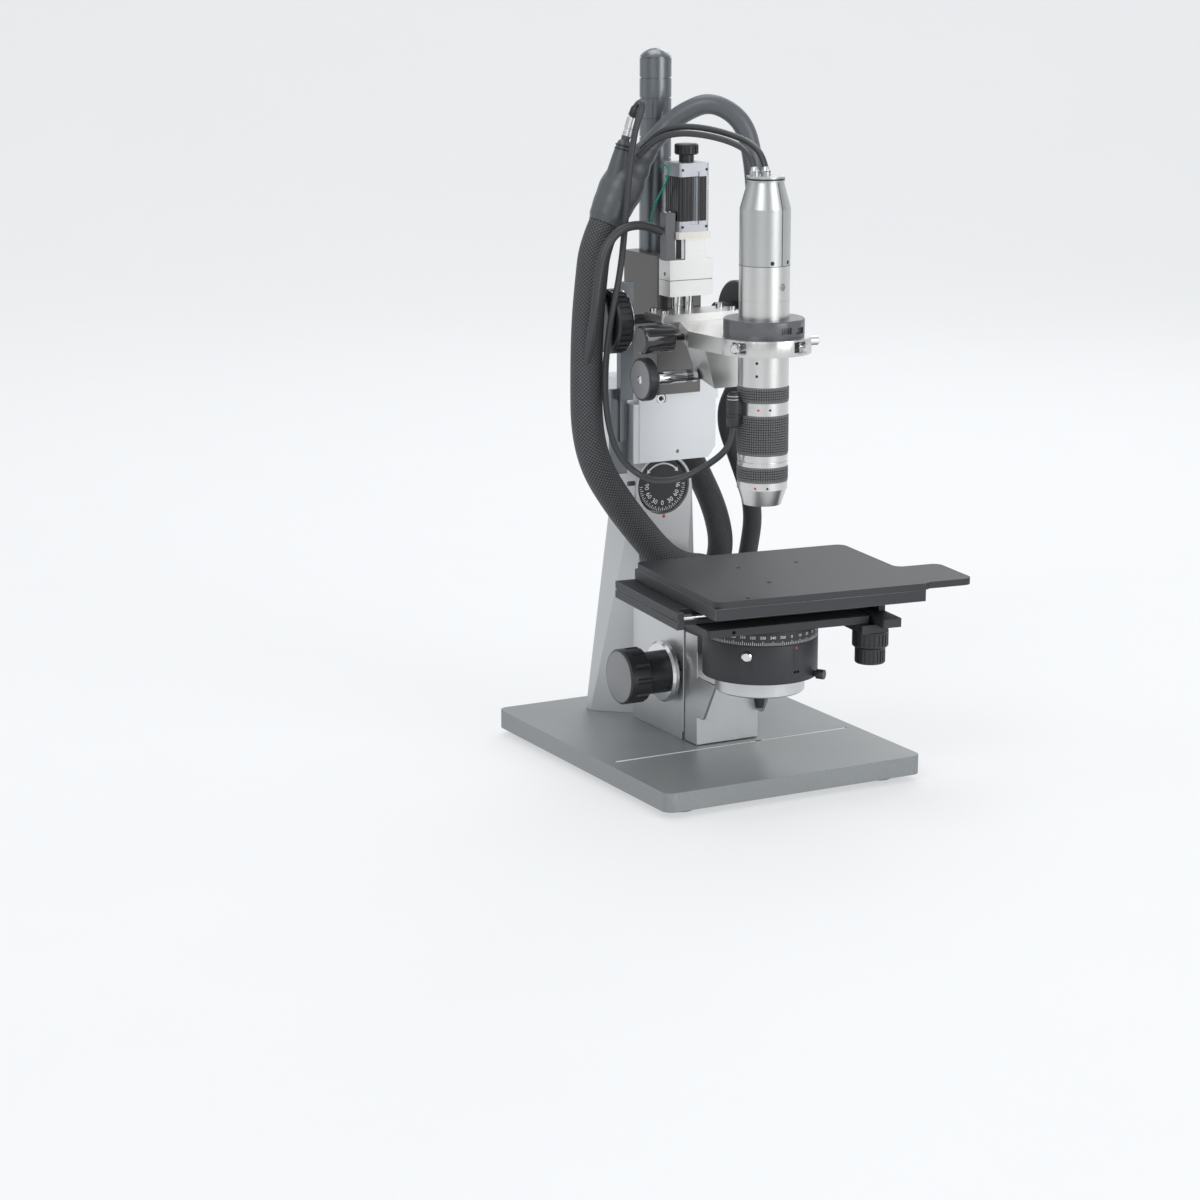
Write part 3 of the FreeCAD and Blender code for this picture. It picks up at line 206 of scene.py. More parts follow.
KNOB_FACE = material("knob_face_grey", (0.22, 0.225, 0.235), 0.3, 0.40, 0.05, (900, 900, 900), 0.08, 0.05)
BRONZE = material("bronze_grey", (0.135, 0.131, 0.128), 0.7, 0.38, 0.05, (60, 60, 1400), 0.10, 0.05)
POLE = material("pole_grey", (0.175, 0.19, 0.205), 0.8, 0.30, 0.05, (900, 900, 60), 0.08, 0.05)
CAP_GREY = material("motor_cap_grey", (0.47, 0.48, 0.52), 0.6, 0.42, 0.05, (900, 900, 900), 0.10, 0.05)
CREAM = material("cream", (0.80, 0.77, 0.70), 0.0, 0.45, 0.05, (500, 500, 500), 0.05, 0.04)
CAMERA = material("camera_grey", (0.50, 0.515, 0.51), 0.85, 0.34, 0.02, (2, 2, 900), 0.0, 0.02)
RUBBER = material("grip_rubber", (0.150, 0.155, 0.158), 0.0, 0.55, 0.06, (900, 900, 900), 0.15, 0.12)
CORD = material("cord_rubber", (0.040, 0.042, 0.046), 0.0, 0.40, 0.05, (700, 700, 700), 0.08, 0.10)
HOSE = material("hose_rubber", (0.100, 0.108, 0.118), 0.0, 0.38, 0.05, (500, 500, 500), 0.12, 0.10)
BOOT = material("boot_rubber", (0.078, 0.084, 0.092), 0.0, 0.38, 0.05, (500, 500, 500), 0.10, 0.08)
WHITE = material("white_marking", (0.80, 0.80, 0.79), 0.0, 0.50, 0.05, (900, 900, 900), 0.0, 0.04)
RED = material("red_marking", (0.55, 0.02, 0.03), 0.0, 0.45, 0.05, (900, 900, 900), 0.0, 0.05)
GREEN = material("green_wire", (0.01, 0.32, 0.20), 0.0, 0.38, 0.04, (600, 600, 600), 0.0, 0.06)
# near-black: the real colour of dark dots, screws and joint lines, and also painted shade in grip grooves,
# screw sockets and the neck slot
DARK_AND_PAINTED_SHADE = material("dark_marks_and_painted_recess_shade", (0.012, 0.012, 0.013), 0.0, 0.60, 0.05, (600, 600, 600), 0.0, 0.10)
BRAID = braid("sleeve_braid", (0.012, 0.012, 0.014), (0.085, 0.088, 0.095), 50, 18)
FINE_BRAID = braid("sleeve_fine_braid", (0.020, 0.020, 0.022), (0.050, 0.052, 0.056), 60, 24)


# making and placing pieces
def piece(name, mesh, mat, body, smooth=True):
    """An object of a mesh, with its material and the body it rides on."""
    ob = bpy.data.objects.new(name, mesh)
    bpy.context.scene.collection.objects.link(ob)
    mesh.materials.append(mat)
    for polygon in mesh.polygons:
        polygon.use_smooth = smooth
    if smooth:
        mesh.set_sharp_from_angle(angle=math.radians(35))
    if body:
        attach(ob, body)
    return ob


def mesh_of(name, verts, faces):
    """A mesh of vertices in millimetres."""
    mesh = bpy.data.meshes.new(name)
    mesh.from_pydata([Vector(v) * MM for v in verts], [], faces)
    mesh.update()
    return mesh


def turn_to(axis):
    """The rotation that takes +Z to the axis."""
    return Vector((0, 0, 1)).rotation_difference(Vector(axis)).to_matrix()


def lathe(profile, at, axis, steps):
    """Vertices and faces of (radius, height) points revolved about an axis through a point."""
    turn = turn_to(axis)
    verts, faces = [], []
    for radius, height in profile:
        for i in range(steps):
            a = 2 * math.pi * i / steps
            verts.append(turn @ Vector((radius * math.cos(a), radius * math.sin(a), height)) + Vector(at))
    for ring in range(len(profile) - 1):
        for i in range(steps):
            j = (i + 1) % steps
            faces.append((ring * steps + i, ring * steps + j, (ring + 1) * steps + j, (ring + 1) * steps + i))
    for ring, flip in ((0, True), (len(profile) - 1, False)):
        cap = [ring * steps + i for i in range(steps)]
        faces.append(cap[::-1] if flip else cap)
    return verts, faces


def block(low, high, ease, turn=None):
    """Vertices and faces of a box with its edges eased."""
    bm = bmesh.new()
    bmesh.ops.create_cube(bm, size=1.0)
    size = [b - a for a, b in zip(low, high)]
    for v in bm.verts:
        v.co = Vector([(c + 0.5) * s + a for c, s, a in zip(v.co, size, low)])
    bmesh.ops.bevel(bm, geom=bm.edges[:], offset=ease, segments=2, affect="EDGES", profile=0.5)
    bm.verts.index_update()
    verts = [v.co.copy() for v in bm.verts]
    faces = [tuple(v.index for v in f.verts) for f in bm.faces]
    bm.free()
    if turn:
        verts = [turn @ v for v in verts]
    return verts, faces


def join(parts):
    """Several (vertices, faces) in one."""
    verts, faces = [], []
    for v, f in parts:
        base = len(verts)
        verts += list(v)
        faces += [tuple(i + base for i in face) for face in f]
    return verts, faces


def make(name, parts, mat, body, smooth=True):
    """A piece of one (vertices, faces), or of a list of them."""
    verts, faces = join(parts if isinstance(parts, list) else [parts])
    return piece(name, mesh_of(name, verts, faces), mat, body, smooth)


def on_lens(radius, turn, z):
    """The point at a radius, an angle in degrees and a height about the lens axis."""
    a = math.radians(turn)
    return Vector((radius * math.cos(a), LENS_Y + radius * math.sin(a), z))


def out_of_lens(turn):
    """The direction away from the lens axis at an angle in degrees."""
    return (math.cos(math.radians(turn)), math.sin(math.radians(turn)), 0)


# cords
def spline_points(route, resolution=10):
    """Points in metres along a smooth curve over control points in millimetres."""
    data = bpy.data.curves.new("route", "CURVE")
    data.dimensions = "3D"
    data.resolution_u = resolution
    spline = data.splines.new("NURBS")
    spline.points.add(len(route) - 1)
    for point, place in zip(spline.points, route):
        point.co = (place[0] * MM, place[1] * MM, place[2] * MM, 1)
    spline.order_u = 3
    spline.use_endpoint_u = True
    ob = bpy.data.objects.new("route", data)
    mesh = bpy.data.meshes.new_from_object(ob)
    points = [v.co.copy() for v in mesh.vertices]
    bpy.data.meshes.remove(mesh)
    bpy.data.objects.remove(ob)
    bpy.data.curves.remove(data)
    return points


def tube(name, points, radii, mat, sides):
    """A closed tube along points in metres. Its map gives turns round it and diameters along it."""
    count = len(points)
    if not isinstance(radii, (list, tuple)):
        radii = [radii] * count
    ahead = [(points[min(i + 1, count - 1)] - points[max(i - 1, 0)]).normalized() for i in range(count)]
    side = ahead[0].orthogonal().normalized()
    verts, faces, run = [], [], [0.0]
    for i, (point, direction) in enumerate(zip(points, ahead)):
        side = (side - direction * side.dot(direction)).normalized()
        other = direction.cross(side)
        for k in range(sides):
            a = 2 * math.pi * k / sides
            verts.append(point + (side * math.cos(a) + other * math.sin(a)) * radii[i])
        if i:
            run.append(run[-1] + (point - points[i - 1]).length)
    for i in range(count - 1):
        for k in range(sides):
            j = (k + 1) % sides
            faces.append((i * sides + k, i * sides + j, (i + 1) * sides + j, (i + 1) * sides + k))
    faces.append(tuple(range(sides))[::-1])
    faces.append(tuple((count - 1) * sides + k for k in range(sides)))
    mesh = bpy.data.meshes.new(name)
    mesh.from_pydata(verts, [], faces)
    layer = mesh.uv_layers.new(name="map")
    wide = 2 * max(radii)
    for polygon in mesh.polygons:
        for loop, v in zip(polygon.loop_indices, polygon.vertices):
            turn = v % sides
            on_seam = len(polygon.vertices) == 4 and any(w % sides == sides - 1 for w in polygon.vertices)
            if turn == 0 and on_seam:
                turn = sides
            layer.data[loop].uv = (turn / sides, run[v // sides] / wide)
    return piece(name, mesh, mat, None)


# control points of each cord, in millimetres, from its exit to its end
MAIN_HOSE = (
    (-23.7, 57.0, 514.4), (-11.5, 56.5, 528.2), (2.0, 46.5, 542.5), (21.0, 32.0, 552.5),
    (43.0, 18.0, 537.0), (51.0, 13.5, 506.0), (54.0, 12.0, 455.0), (56.0, 11.0, 400.0),
    (58.0, 15.5, 350.0), (60.0, 50.0, 312.0), (62.0, 78.0, 278.0), (84.0, 88.0, 236.0),
    (101.0, 88.0, 192.0), (100.0, 96.0, 150.0), (102.0, 114.0, 112.0), (108.0, 138.0, 76.0),
    (117.0, 164.0, 44.0), (130.0, 192.0, 20.0), (147.0, 224.0, 9.0), (161.0, 262.0, 8.3),
    (168.0, 300.0, 8.3), (180.0, 334.0, 8.3),
)
LEFT_SLEEVE = (
    (-66.2, 57.0, 451.6), (-75.5, 56.5, 434.0), (-82.0, 51.0, 408.0), (-89.0, 45.0, 370.0),
    (-91.0, 43.0, 325.0), (-90.0, 44.0, 284.0), (-80.0, 46.0, 250.0), (-59.0, 48.0, 219.0),
    (-36.0, 50.0, 191.0), (-13.0, 52.0, 166.0), (9.0, 53.0, 153.0), (36.0, 57.0, 149.0),
    (64.0, 76.0, 124.0), (78.0, 112.0, 84.0), (88.0, 148.0, 56.0), (99.0, 182.0, 33.0),
    (111.0, 214.0, 18.0), (124.0, 248.0, 13.6), (130.0, 284.0, 13.6), (141.0, 316.0, 13.6),
)
REAR_SLEEVE = (
    (6.0, 108.3, 372.0), (7.0, 136.0, 370.0), (17.0, 150.0, 344.0), (26.0, 146.0, 314.0),
    (36.0, 140.0, 284.0), (50.0, 132.0, 252.0), (62.0, 120.0, 222.0), (70.0, 103.0, 190.0),
    (72.0, 94.0, 158.0), (69.0, 108.0, 126.0), (60.0, 134.0, 94.0), (58.0, 160.0, 63.0),
    (62.0, 186.0, 38.0), (72.0, 214.0, 20.0), (84.0, 246.0, 11.2), (92.0, 280.0, 11.2),
    (104.0, 310.0, 11.2),
)
LEAD_1 = (
    (2.5, -86.0, 505.4), (2.6, -82.0, 514.0), (2.0, -70.0, 523.0), (0.0, -46.0, 529.0),
    (-10.0, -16.0, 534.0), (-20.0, 10.0, 534.5), (-30.0, 32.0, 529.0), (-37.0, 46.0, 514.0),
)
LEAD_2 = (
    (-6.5, -84.0, 505.4), (-6.0, -79.0, 514.0), (-6.0, -66.0, 521.5), (-9.0, -42.0, 526.5),
    (-17.0, -14.0, 529.5), (-26.0, 9.0, 529.0), (-35.0, 29.0, 523.0), (-43.0, 42.0, 508.0),
)
LENS_CORD = (
    (-27.5, -90.0, 301.2), (-28.5, -90.5, 293.0), (-34.0, -88.0, 281.0), (-42.0, -76.0, 269.5),
    (-45.0, -48.0, 255.5), (-45.0, -14.0, 245.0), (-52.0, 14.0, 243.0), (-68.0, 28.0, 260.0),
    (-78.0, 30.0, 290.0), (-81.0, 30.0, 330.0), (-75.5, 30.0, 375.0), (-64.0, 33.0, 415.0),
    (-57.5, 36.0, 460.0), (-53.5, 37.5, 500.0), (-47.5, 38.0, 533.0), (-39.0, 38.5, 553.0),
    (-38.5, 52.5, 551.0), (-43.5, 53.0, 535.0), (-47.3, 53.0, 522.8),
)
MOTOR_CORD = (
    (-27.0, 31.5, 446.6), (-35.0, 30.5, 450.0), (-50.0, 29.0, 454.0), (-68.0, 28.0, 451.0),
    (-82.0, 28.0, 436.0), (-88.0, 27.0, 414.0), (-92.0, 25.0, 388.0), (-95.0, 28.0, 362.0),
    (-95.0, 36.0, 338.0),
)
EARTH_WIRE = (
    (-17.4, 49.3, 498.4), (-17.1, 43.0, 500.6), (-17.0, 36.9, 498.6), (-17.2, 37.1, 491.3),
    (-18.4, 42.8, 481.1), (-20.0, 49.2, 472.6), (-21.6, 53.5, 464.2), (-23.0, 55.7, 454.7),
    (-23.2, 55.0, 447.3),
)
PLUG_LENGTH = 42.0
PLUG_RIM = 1.0


def place(point):
    return tuple(c * MM for c in point)


def end_plug(name, route, diameter):
    """A turned plug body in line with the cord's last run, resting on the table."""
    end, before = Vector(route[-1]), Vector(route[-2])
    along = (end - before).normalized()
    r, half = diameter / 2, PLUG_LENGTH / 2
    profile = [(r - 1.6, 0), (r - 0.3, 1.2), (r, 2.4)]
    for i in range(5):
        z = 4.0 + 3.0 * i
        profile += [(r, z), (r - 0.6, z + 0.6), (r - 0.6, z + 1.6), (r, z + 2.2)]
    rim = r - PLUG_RIM
    profile += [(r, half - 0.6), (rim, half), (rim, PLUG_LENGTH - 1.2), (rim - 1, PLUG_LENGTH),
                (r - 3.5, PLUG_LENGTH), (r - 3.7, PLUG_LENGTH - 5)]
    return make(name, lathe(profile, end, along, 48), BLACK, "stand")


def hose(name, route, diameter, mat, braided_below=0):
    """A thick cord with its plug, from the tilting head to the table."""
    points = spline_points(route)
    ob = tube(name + "_tube", points, diameter / 2 * MM, mat, 32)
    if braided_below:
        ob.data.materials.append(FINE_BRAID)
        for polygon in ob.data.polygons:
            if polygon.center.z < braided_below * MM:
                polygon.material_index = 1
    plug = end_plug(name + "_plug", route, diameter)
    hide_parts(name)
    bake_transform(ob)
    return plug


main_plug = hose("main_hose", MAIN_HOSE, 16.5, HOSE,
                 braided_below=330)
hose("left_sleeve", LEFT_SLEEVE, 27.0, BRAID)
hose("rear_sleeve", REAR_SLEEVE, 22.0, FINE_BRAID)
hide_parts("end_plugs")


def inner_cord(name, route, diameter, bodies, mat=CORD, node=True):
    """A thin cord on the head. It rides on one body, or with two bodies stays fixed where it is drawn."""
    points = spline_points(route)
    ob = tube(name + "_tube", points, diameter / 2 * MM, mat, 16)
    if node:
        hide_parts(name)
    if len(bodies) == 2:
        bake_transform(ob)
    else:
        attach(ob, bodies[0])


def along_cord(points, near, far, profile):
    """A turned piece round a cord, between two distances in metres from its end; its heights run 0 to 1."""
    line = points[::-1]
    run, places = 0.0, []
    for a, b in zip(line, line[1:]):
        step = (b - a).length
        for wanted in (near, far):
            if run <= wanted < run + step:
                places.append(a.lerp(b, (wanted - run) / step))
        run += step
    start, stop = places[0] / MM, places[1] / MM
    length = (stop - start).length
    return lathe([(r, h * length) for r, h in profile], start, (stop - start).normalized(), 32)


inner_cord("camera_lead_1", LEAD_1, 5.2, ("coarse", "head"))
inner_cord("camera_lead_2", LEAD_2, 5.2, ("coarse", "head"))
inner_cord("motor_cord", MOTOR_CORD, 7.5, ("head",))
inner_cord("earth_wire", EARTH_WIRE, 1.6, ("coarse",), mat=GREEN, node=False)
lens_points = spline_points(LENS_CORD)
# radius in millimetres, and the share of the length
CONNECTOR = [(3.6, 0), (4.6, 0.04), (4.6, 0.28), (4.1, 0.32), (4.1, 0.4), (4.6, 0.44), (4.6, 0.95),
             (3.8, 1.0)]
COLLAR = [(4.2, 0), (4.3, 0.1), (4.1, 0.7), (2.6, 1.0)]
connector = make("cord_connector", along_cord(lens_points, 0.0005, 0.0175, CONNECTOR), SILVER, "head")
collar = make("cord_collar", along_cord(lens_points, 0.0185, 0.028, COLLAR), BLACK, "head")
inner_cord("lens_cord", LENS_CORD, 5.4, ("coarse", "head"))


# the boot where the cords part
FORK_LINE = ((-24.0, 57.0, 514.0), (-33.0, 57.0, 505.0), (-47.0, 58.0, 486.0), (-58.0, 57.6, 468.0),
             (-66.0, 57.0, 452.0))
# the share of the line, and the radius there
FORK_RADII = ((0.0, 9.2), (0.12, 10.6), (0.3, 14.6), (0.48, 18.0), (0.62, 18.6), (0.8, 17.2), (0.95, 15.8),
              (0.97, 14.6), (1.0, 13.9))
SOCKET = [(8.8, -6), (8.4, 4), (7.6, 14), (6.8, 21), (6.4, 24), (5.6, 28), (4.6, 29.4), (3.6, 29.8),
          (3.6, 33.5)]


def boot():
    """The rubber boot, its radius eased between the values of FORK_RADII, with the lens cable's socket."""
    points = spline_points(FORK_LINE, 12)
    count = len(points)
    radii = []
    for i in range(count):
        t = i / (count - 1)
        for (t0, r0), (t1, r1) in zip(FORK_RADII, FORK_RADII[1:]):
            if t0 <= t <= t1:
                f = (t - t0) / (t1 - t0)
                radii.append((r0 + (r1 - r0) * f * f * (3 - 2 * f)) * MM)
                break
    body = tube("fork_boot", points, radii, BOOT, 40)
    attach(body, "head")
    low, high = Vector((-56.0, 55.5, 492.0)), Vector((-49.0, 53.2, 521.0))
    axis = (high - low).normalized()
    make("fork_socket", lathe(SOCKET, low, axis, 40), BOOT, "head")
    band = [(5.8, 0), (7.1, 0.3), (7.1, 1.3), (5.8, 1.6)]
    rings = [lathe([(r, h + z) for r, h in band], low, axis, 40) for z in (21.5, 24.6)]
    make("fork_socket_rings", rings, BLACK, "head")
    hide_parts("hose_fork")


boot()


# finishes of the solids: material, and how far its edges are eased, in millimetres
FINISH = {
    "base_plate": (BASE, 0.8), "base_feet": (RUBBER, 0.8), "upright": (UPRIGHT, 0.5),
    "side_screws": (BLACK, 0.0), "lift_block": (SILVER, 0.5), "lift_knob_disc": (CHROME, 0.0),
    "lift_knob_grip": (BLACK, 0.0), "lift_carriage": (SILVER, 0.5), "foot_disc": (SILVER, 0.0),
    "ring_housing": (ANODISED, 0.4), "ring_button": (CHROME, 0.0), "ring_knob": (BLACK, 0.5),
    "cone_knob": (BLACK, 0.3), "scale_ring": (ANODISED, 0.3), "lower_plate": (ANODISED, 0.4),
    "y_frame": (ANODISED, 0.4), "y_rod": (CHROME, 0.0), "y_bracket": (ANODISED, 0.4),
    "drop_knob_upper": (BLACK, 0.0), "drop_knob_lower": (BLACK, 0.0), "x_plate": (ANODISED, 0.4),
    "stage_top": (ANODISED, 0.5), "head_plate": (FACE, 0.5), "head_block": (FACE, 0.5),
    "tilt_dial": (ANODISED, 0.3), "column": (BRONZE, 0.4), "pole": (POLE, 0.0),
    "side_rail": (POLE, 0.4), "coarse_knobs": (BLACK, 0.0), "z_block": (BRIGHT, 0.12),
    "motor_plate": (CREAM, 0.3), "motor": (GLOSSY, 0.0), "motor_caps": (CAP_GREY, 0.3),
    "connector_box": (GREY_ANODISED, 0.4), "motor_knob": (BLACK, 0.0), "arm_plate": (BRIGHT, 0.5),
    "arm_screws": (CHROME, 0.0), "guide_rods": (CHROME, 0.0), "arm": (BRIGHT, 0.5),
    "centring_screws": (CHROME, 0.0), "adapter_disc": (GREY_ANODISED, 0.4), "camera_tube": (TURNED, 0.0),
    "camera_barrel": (CAMERA, 0.0), "lens_barrel": (TURNED, 0.0), "lens_plug": (BLACK, 0.0),
    "clamp_knob": (GLOSSY, 0.3), "disc_knob": (BLACK, 0.0),
}


def finish_nodes():
    """Materials and eased edges of the source's solids; black anodised parts get a lighter grey on their
    eased edges, a painted edge highlight.
    """
    for name, (mat, ease) in FINISH.items():
        ob = NODES[name]
        if not ob.material_slots:
            ob.data.materials.append(mat)
        for slot in ob.material_slots:
            slot.material = mat
        # the lighter edge material is a painted edge highlight
        edge = EDGE_HIGHLIGHT if mat == ANODISED else None
        if edge and ease:
            ob.data.materials.append(edge)
        if ease:
            weld = ob.modifiers.new("weld", "WELD")
            weld.merge_threshold = 0.00001
            eased = ob.modifiers.new("ease", "BEVEL")
            eased.width = ease * MM
            eased.segments = 2
            eased.limit_method = "ANGLE"
            eased.angle_limit = math.radians(38)
            eased.harden_normals = True
            if edge:
                eased.material = len(ob.material_slots) - 1


finish_nodes()


# lens grips
def grip(name, span, rows):
    """A rubber ring with a square grid of raised pads between two plain rims."""
    z0, z1 = BASE_TOP + span[0], BASE_TOP + span[1]
    pads, top, deep, edge, inside = 66, 20.95, 20.2, 20.7, 17.1
    cell = (z1 - z0 - 2.0) / rows
    heights = [(z0, deep, deep), (z0 + 0.15, edge, edge), (z0 + 1.0, edge, edge)]
    for i in range(rows):
        z = z0 + 1.0 + cell * i
        heights += [(z + 0.20 * cell, deep, deep), (z + 0.34 * cell, top, deep), (z + 0.86 * cell, top, deep),
                    (z + cell, deep, deep)]
    heights += [(z1 - 1.0 + 0.01, edge, edge), (z1 - 0.15, edge, edge), (z1, deep, deep)]
    turns = []
    for i in range(pads):
        turns += [(i + 0.0, False), (i + 0.20, False), (i + 0.34, True), (i + 0.86, True)]
    verts, faces = [], []
    for z, on_pad, between in heights:
        for turn, raised in turns:
            verts.append(on_lens(on_pad if raised else between, 360.0 * turn / pads, z))
    n = len(turns)
    for k in range(len(heights) - 1):
        for i in range(n):
            j = (i + 1) % n
            faces.append((k * n + i, k * n + j, (k + 1) * n + j, (k + 1) * n + i))
    inner = len(verts)
    for z in (z0, z1):
        verts += [on_lens(inside, 360.0 * turn / pads, z) for turn, _ in turns]
    last = (len(heights) - 1) * n
    for i in range(n):
        j = (i + 1) % n
        faces.append((inner + i, inner + j, j, i))
        faces.append((last + i, last + j, inner + n + j, inner + n + i))
        faces.append((inner + j, inner + i, inner + n + i, inner + n + j))
    ob = make(name + "_grip", (verts, faces), RUBBER, name, False)
    # the floors between the pads take the near-black material: painted shade in the grooves
    ob.data.materials.append(DARK_AND_PAINTED_SHADE)
    groove = deep + 0.05
    for polygon in ob.data.polygons:
        corners = [ob.data.vertices[i].co / MM for i in polygon.vertices]
        radii = [math.hypot(c.x, c.y - LENS_Y) for c in corners]
        if max(radii) < groove and min(radii) > deep - 0.05:
            polygon.material_index = 1
    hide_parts(name)


grip("lens_ring_upper", (299.1, 311.2), 5)
grip("lens_ring_zoom", (256.2, 288.3), 15)
grip("lens_ring_lower", (234.0, 246.1), 5)


# markings
def marks(name, flat, mat, body, place_of):
    """Flat outlines (lists of 2-D corners and faces) laid on a surface by place_of(u, v)."""
    verts, faces = join(flat)
    piece(name, mesh_of(name, [place_of(v[0], v[1]) for v in verts], faces), mat, body, False)


def bar(u0, u1, v0, v1):
    """A rectangle between two u and two v."""
    return [(u0, v0, 0), (u1, v0, 0), (u1, v1, 0), (u0, v1, 0)], [(0, 1, 2, 3)]


def number(text, size, u, v, turn=0.0):
    """The filled outline of a number, centred at u, v."""
    data = bpy.data.curves.new("number", "FONT")
    data.body = text
    data.size = size
    data.align_x = "CENTER"
    data.align_y = "CENTER"
    data.resolution_u = 2
    ob = bpy.data.objects.new("number", data)
    mesh = bpy.data.meshes.new_from_object(ob)
    c, s = math.cos(turn), math.sin(turn)
    verts = [(u + c * p.co.x - s * p.co.y, v + s * p.co.x + c * p.co.y, 0) for p in mesh.vertices]
    faces = [tuple(f.vertices) for f in mesh.polygons]
    bpy.data.meshes.remove(mesh)
    bpy.data.objects.remove(ob)
    bpy.data.curves.remove(data)
    return verts, faces


def scale_ring_marks():
    """The rotary's scale: a line every two degrees, a longer one and a number every ten."""
    zero = -90.0 + 1.3
    foot, short, tall, middle, size = 127.9, 130.2, 131.4, 134.3, 3.3

    def wrap(u, v):
        return on_lens(SCALE_R, u, v)

    flat = []
    for i in range(180):
        turn = zero + 2.0 * i
        flat.append(bar(turn - 0.2, turn + 0.2, foot, tall if i % 5 == 0 else short))
    per_degree = SCALE_R * math.pi / 180
    for i in range(36):
        verts, faces = number(str(10 * i), size, 0, 0)
        turn = zero + 10.0 * i
        flat.append(([(turn + x / per_degree, middle + y, 0) for x, y, z in verts], faces))
    marks("scale_marks", flat, WHITE, "rotary", wrap)


def dial_marks():
    """The tilt dial's lines, numbers and double arrow, laid just in front of its face."""
    y = DIAL_FACE - 0.06
    outside, long_in, short_in, half, number_r = 22.4, 19.0, 20.4, 0.22, 15.6
    arc_in, arc_out, arc_span, tip_span = 18.3, 19.7, 44, 54

    def lay(u, v):
        return Vector((u, y, TILT_Z + v))

    flat = []
    for i in range(-18, 19):
        a = math.radians(5 * i - 90)
        inner = long_in if i % 2 == 0 else short_in
        c, s = math.cos(a), math.sin(a)
        outline = ((inner, -half), (outside, -half), (outside, half), (inner, half))
        corners = [(r * c - w * s, r * s + w * c, 0) for r, w in outline]
        flat.append((corners, [(0, 1, 2, 3)]))
    for i in (-3, -2, -1, 0, 1, 2, 3):
        a = math.radians(30 * i - 90)
        turn = math.radians(30 * i)
        flat.append(number(str(abs(30 * i)), 6.0, number_r * math.cos(a), number_r * math.sin(a), turn))
    steps = 24
    for k in range(steps):
        a0, a1 = (math.radians(90 - arc_span + 2 * arc_span * (k + j) / steps) for j in (0, 1))
        outline = ((arc_in, a0), (arc_out, a0), (arc_out, a1), (arc_in, a1))
        corners = [(r * math.cos(a), r * math.sin(a), 0) for r, a in outline]
        flat.append((corners, [(0, 1, 2, 3)]))
    for side in (-1, 1):
        a = math.radians(90 + side * arc_span)
        tip = math.radians(90 + side * tip_span)
        corners = [(r * math.cos(t), r * math.sin(t), 0) for r, t in ((16.9, a), (21.1, a), (19.0, tip))]
        flat.append((corners, [(0, 1, 2)]))
    marks("dial_marks", flat, WHITE, "head", lay)


def dot(name, at, out, radius, mat, body, proud):
    """A small round mark or screw head, standing proud of a surface."""
    profile = [(radius * 0.2, 0.0), (radius, 0.0), (radius, proud * 0.6), (radius * 0.8, proud),
               (radius * 0.1, proud)]
    make(name, lathe(profile, at, out, 20), mat, body)


def lens_dot(name, radius, turn, z, size, mat, body="fine", proud=0.25):
    """A dot on a surface about the lens axis."""
    dot(name, on_lens(radius, turn, z), out_of_lens(turn), size, mat, body, proud)


scale_ring_marks()
dial_marks()
dot("upright_dot", (0, UP_FRONT, BASE_TOP + 174.4), (0, -1, 0), 1.5, RED, "stand", 0.1)
lens_dot("ring_dot", 47.45, -90 + 7.2, BASE_TOP + 102.2, 1.1, RED, "lift", 0.15)
# height on the lens, colour and angle of the index dots
LENS_DOTS = ((293.6, RED, -131.8), (293.6, DARK_AND_PAINTED_SHADE, -104.8), (229.6, RED, -137.0), (229.6, DARK_AND_PAINTED_SHADE, -109.0))
for level, mat, turn in LENS_DOTS:
    lens_dot("lens_dot_%d_%d" % (level, -turn), 20.42, turn, BASE_TOP + level, 1.0, mat, proud=0.15)
for level in (321.0, 331.5):
    lens_dot("lens_screw_%d" % level, 20.35, -136.3, BASE_TOP + level, 1.2, DARK_AND_PAINTED_SHADE)


# screws and small fittings
def socket_screw(name, at, out, radius, body):
    """A screw head, with a near-black hexagon in its socket as painted shade."""
    r = radius
    head = [(r * 0.3, 0), (r, 0), (r, 0.7), (r - 0.4, 1.1), (r * 0.62, 1.1), (r * 0.58, 0.5), (0.1, 0.45)]
    make(name, lathe(head, at, out, 32), CHROME, body)
    middle = Vector(at) + Vector(out) * 0.47
    # near-black hexagon laid in the socket: painted shade
    socket_shade = [(0.1, 0), (r * 0.55, 0), (r * 0.5, 0.12), (0.1, 0.12)]
    make(name + "_socket", lathe(socket_shade, middle, out, 6), DARK_AND_PAINTED_SHADE, body, False)


socket_screw("face_screw", (-13.5, 54.4, BASE_TOP + 280.5), (0, -1, 0), 4.2, "head")
for x in (-22.6, -18.4):
    socket_screw("box_screw_%d" % -x, (x, 31.5, 461.9), (0, 0, 1), 1.7, "coarse")
for side in (-1, 1):
    for level in (450.0, 497.0):
        at = (side * 11.3, MOTOR_Y - 14.0, level)
        dot("cap_screw_%d_%d" % (side, level), at, (0, -1, 0), 1.2, DARK_AND_PAINTED_SHADE, "coarse", 0.12)
for k, turn in enumerate((-103.7, -57.3)):
    lens_dot("barrel_screw_%d" % k, 20.42, turn, 433.5, 1.7, DARK_AND_PAINTED_SHADE, proud=0.2)


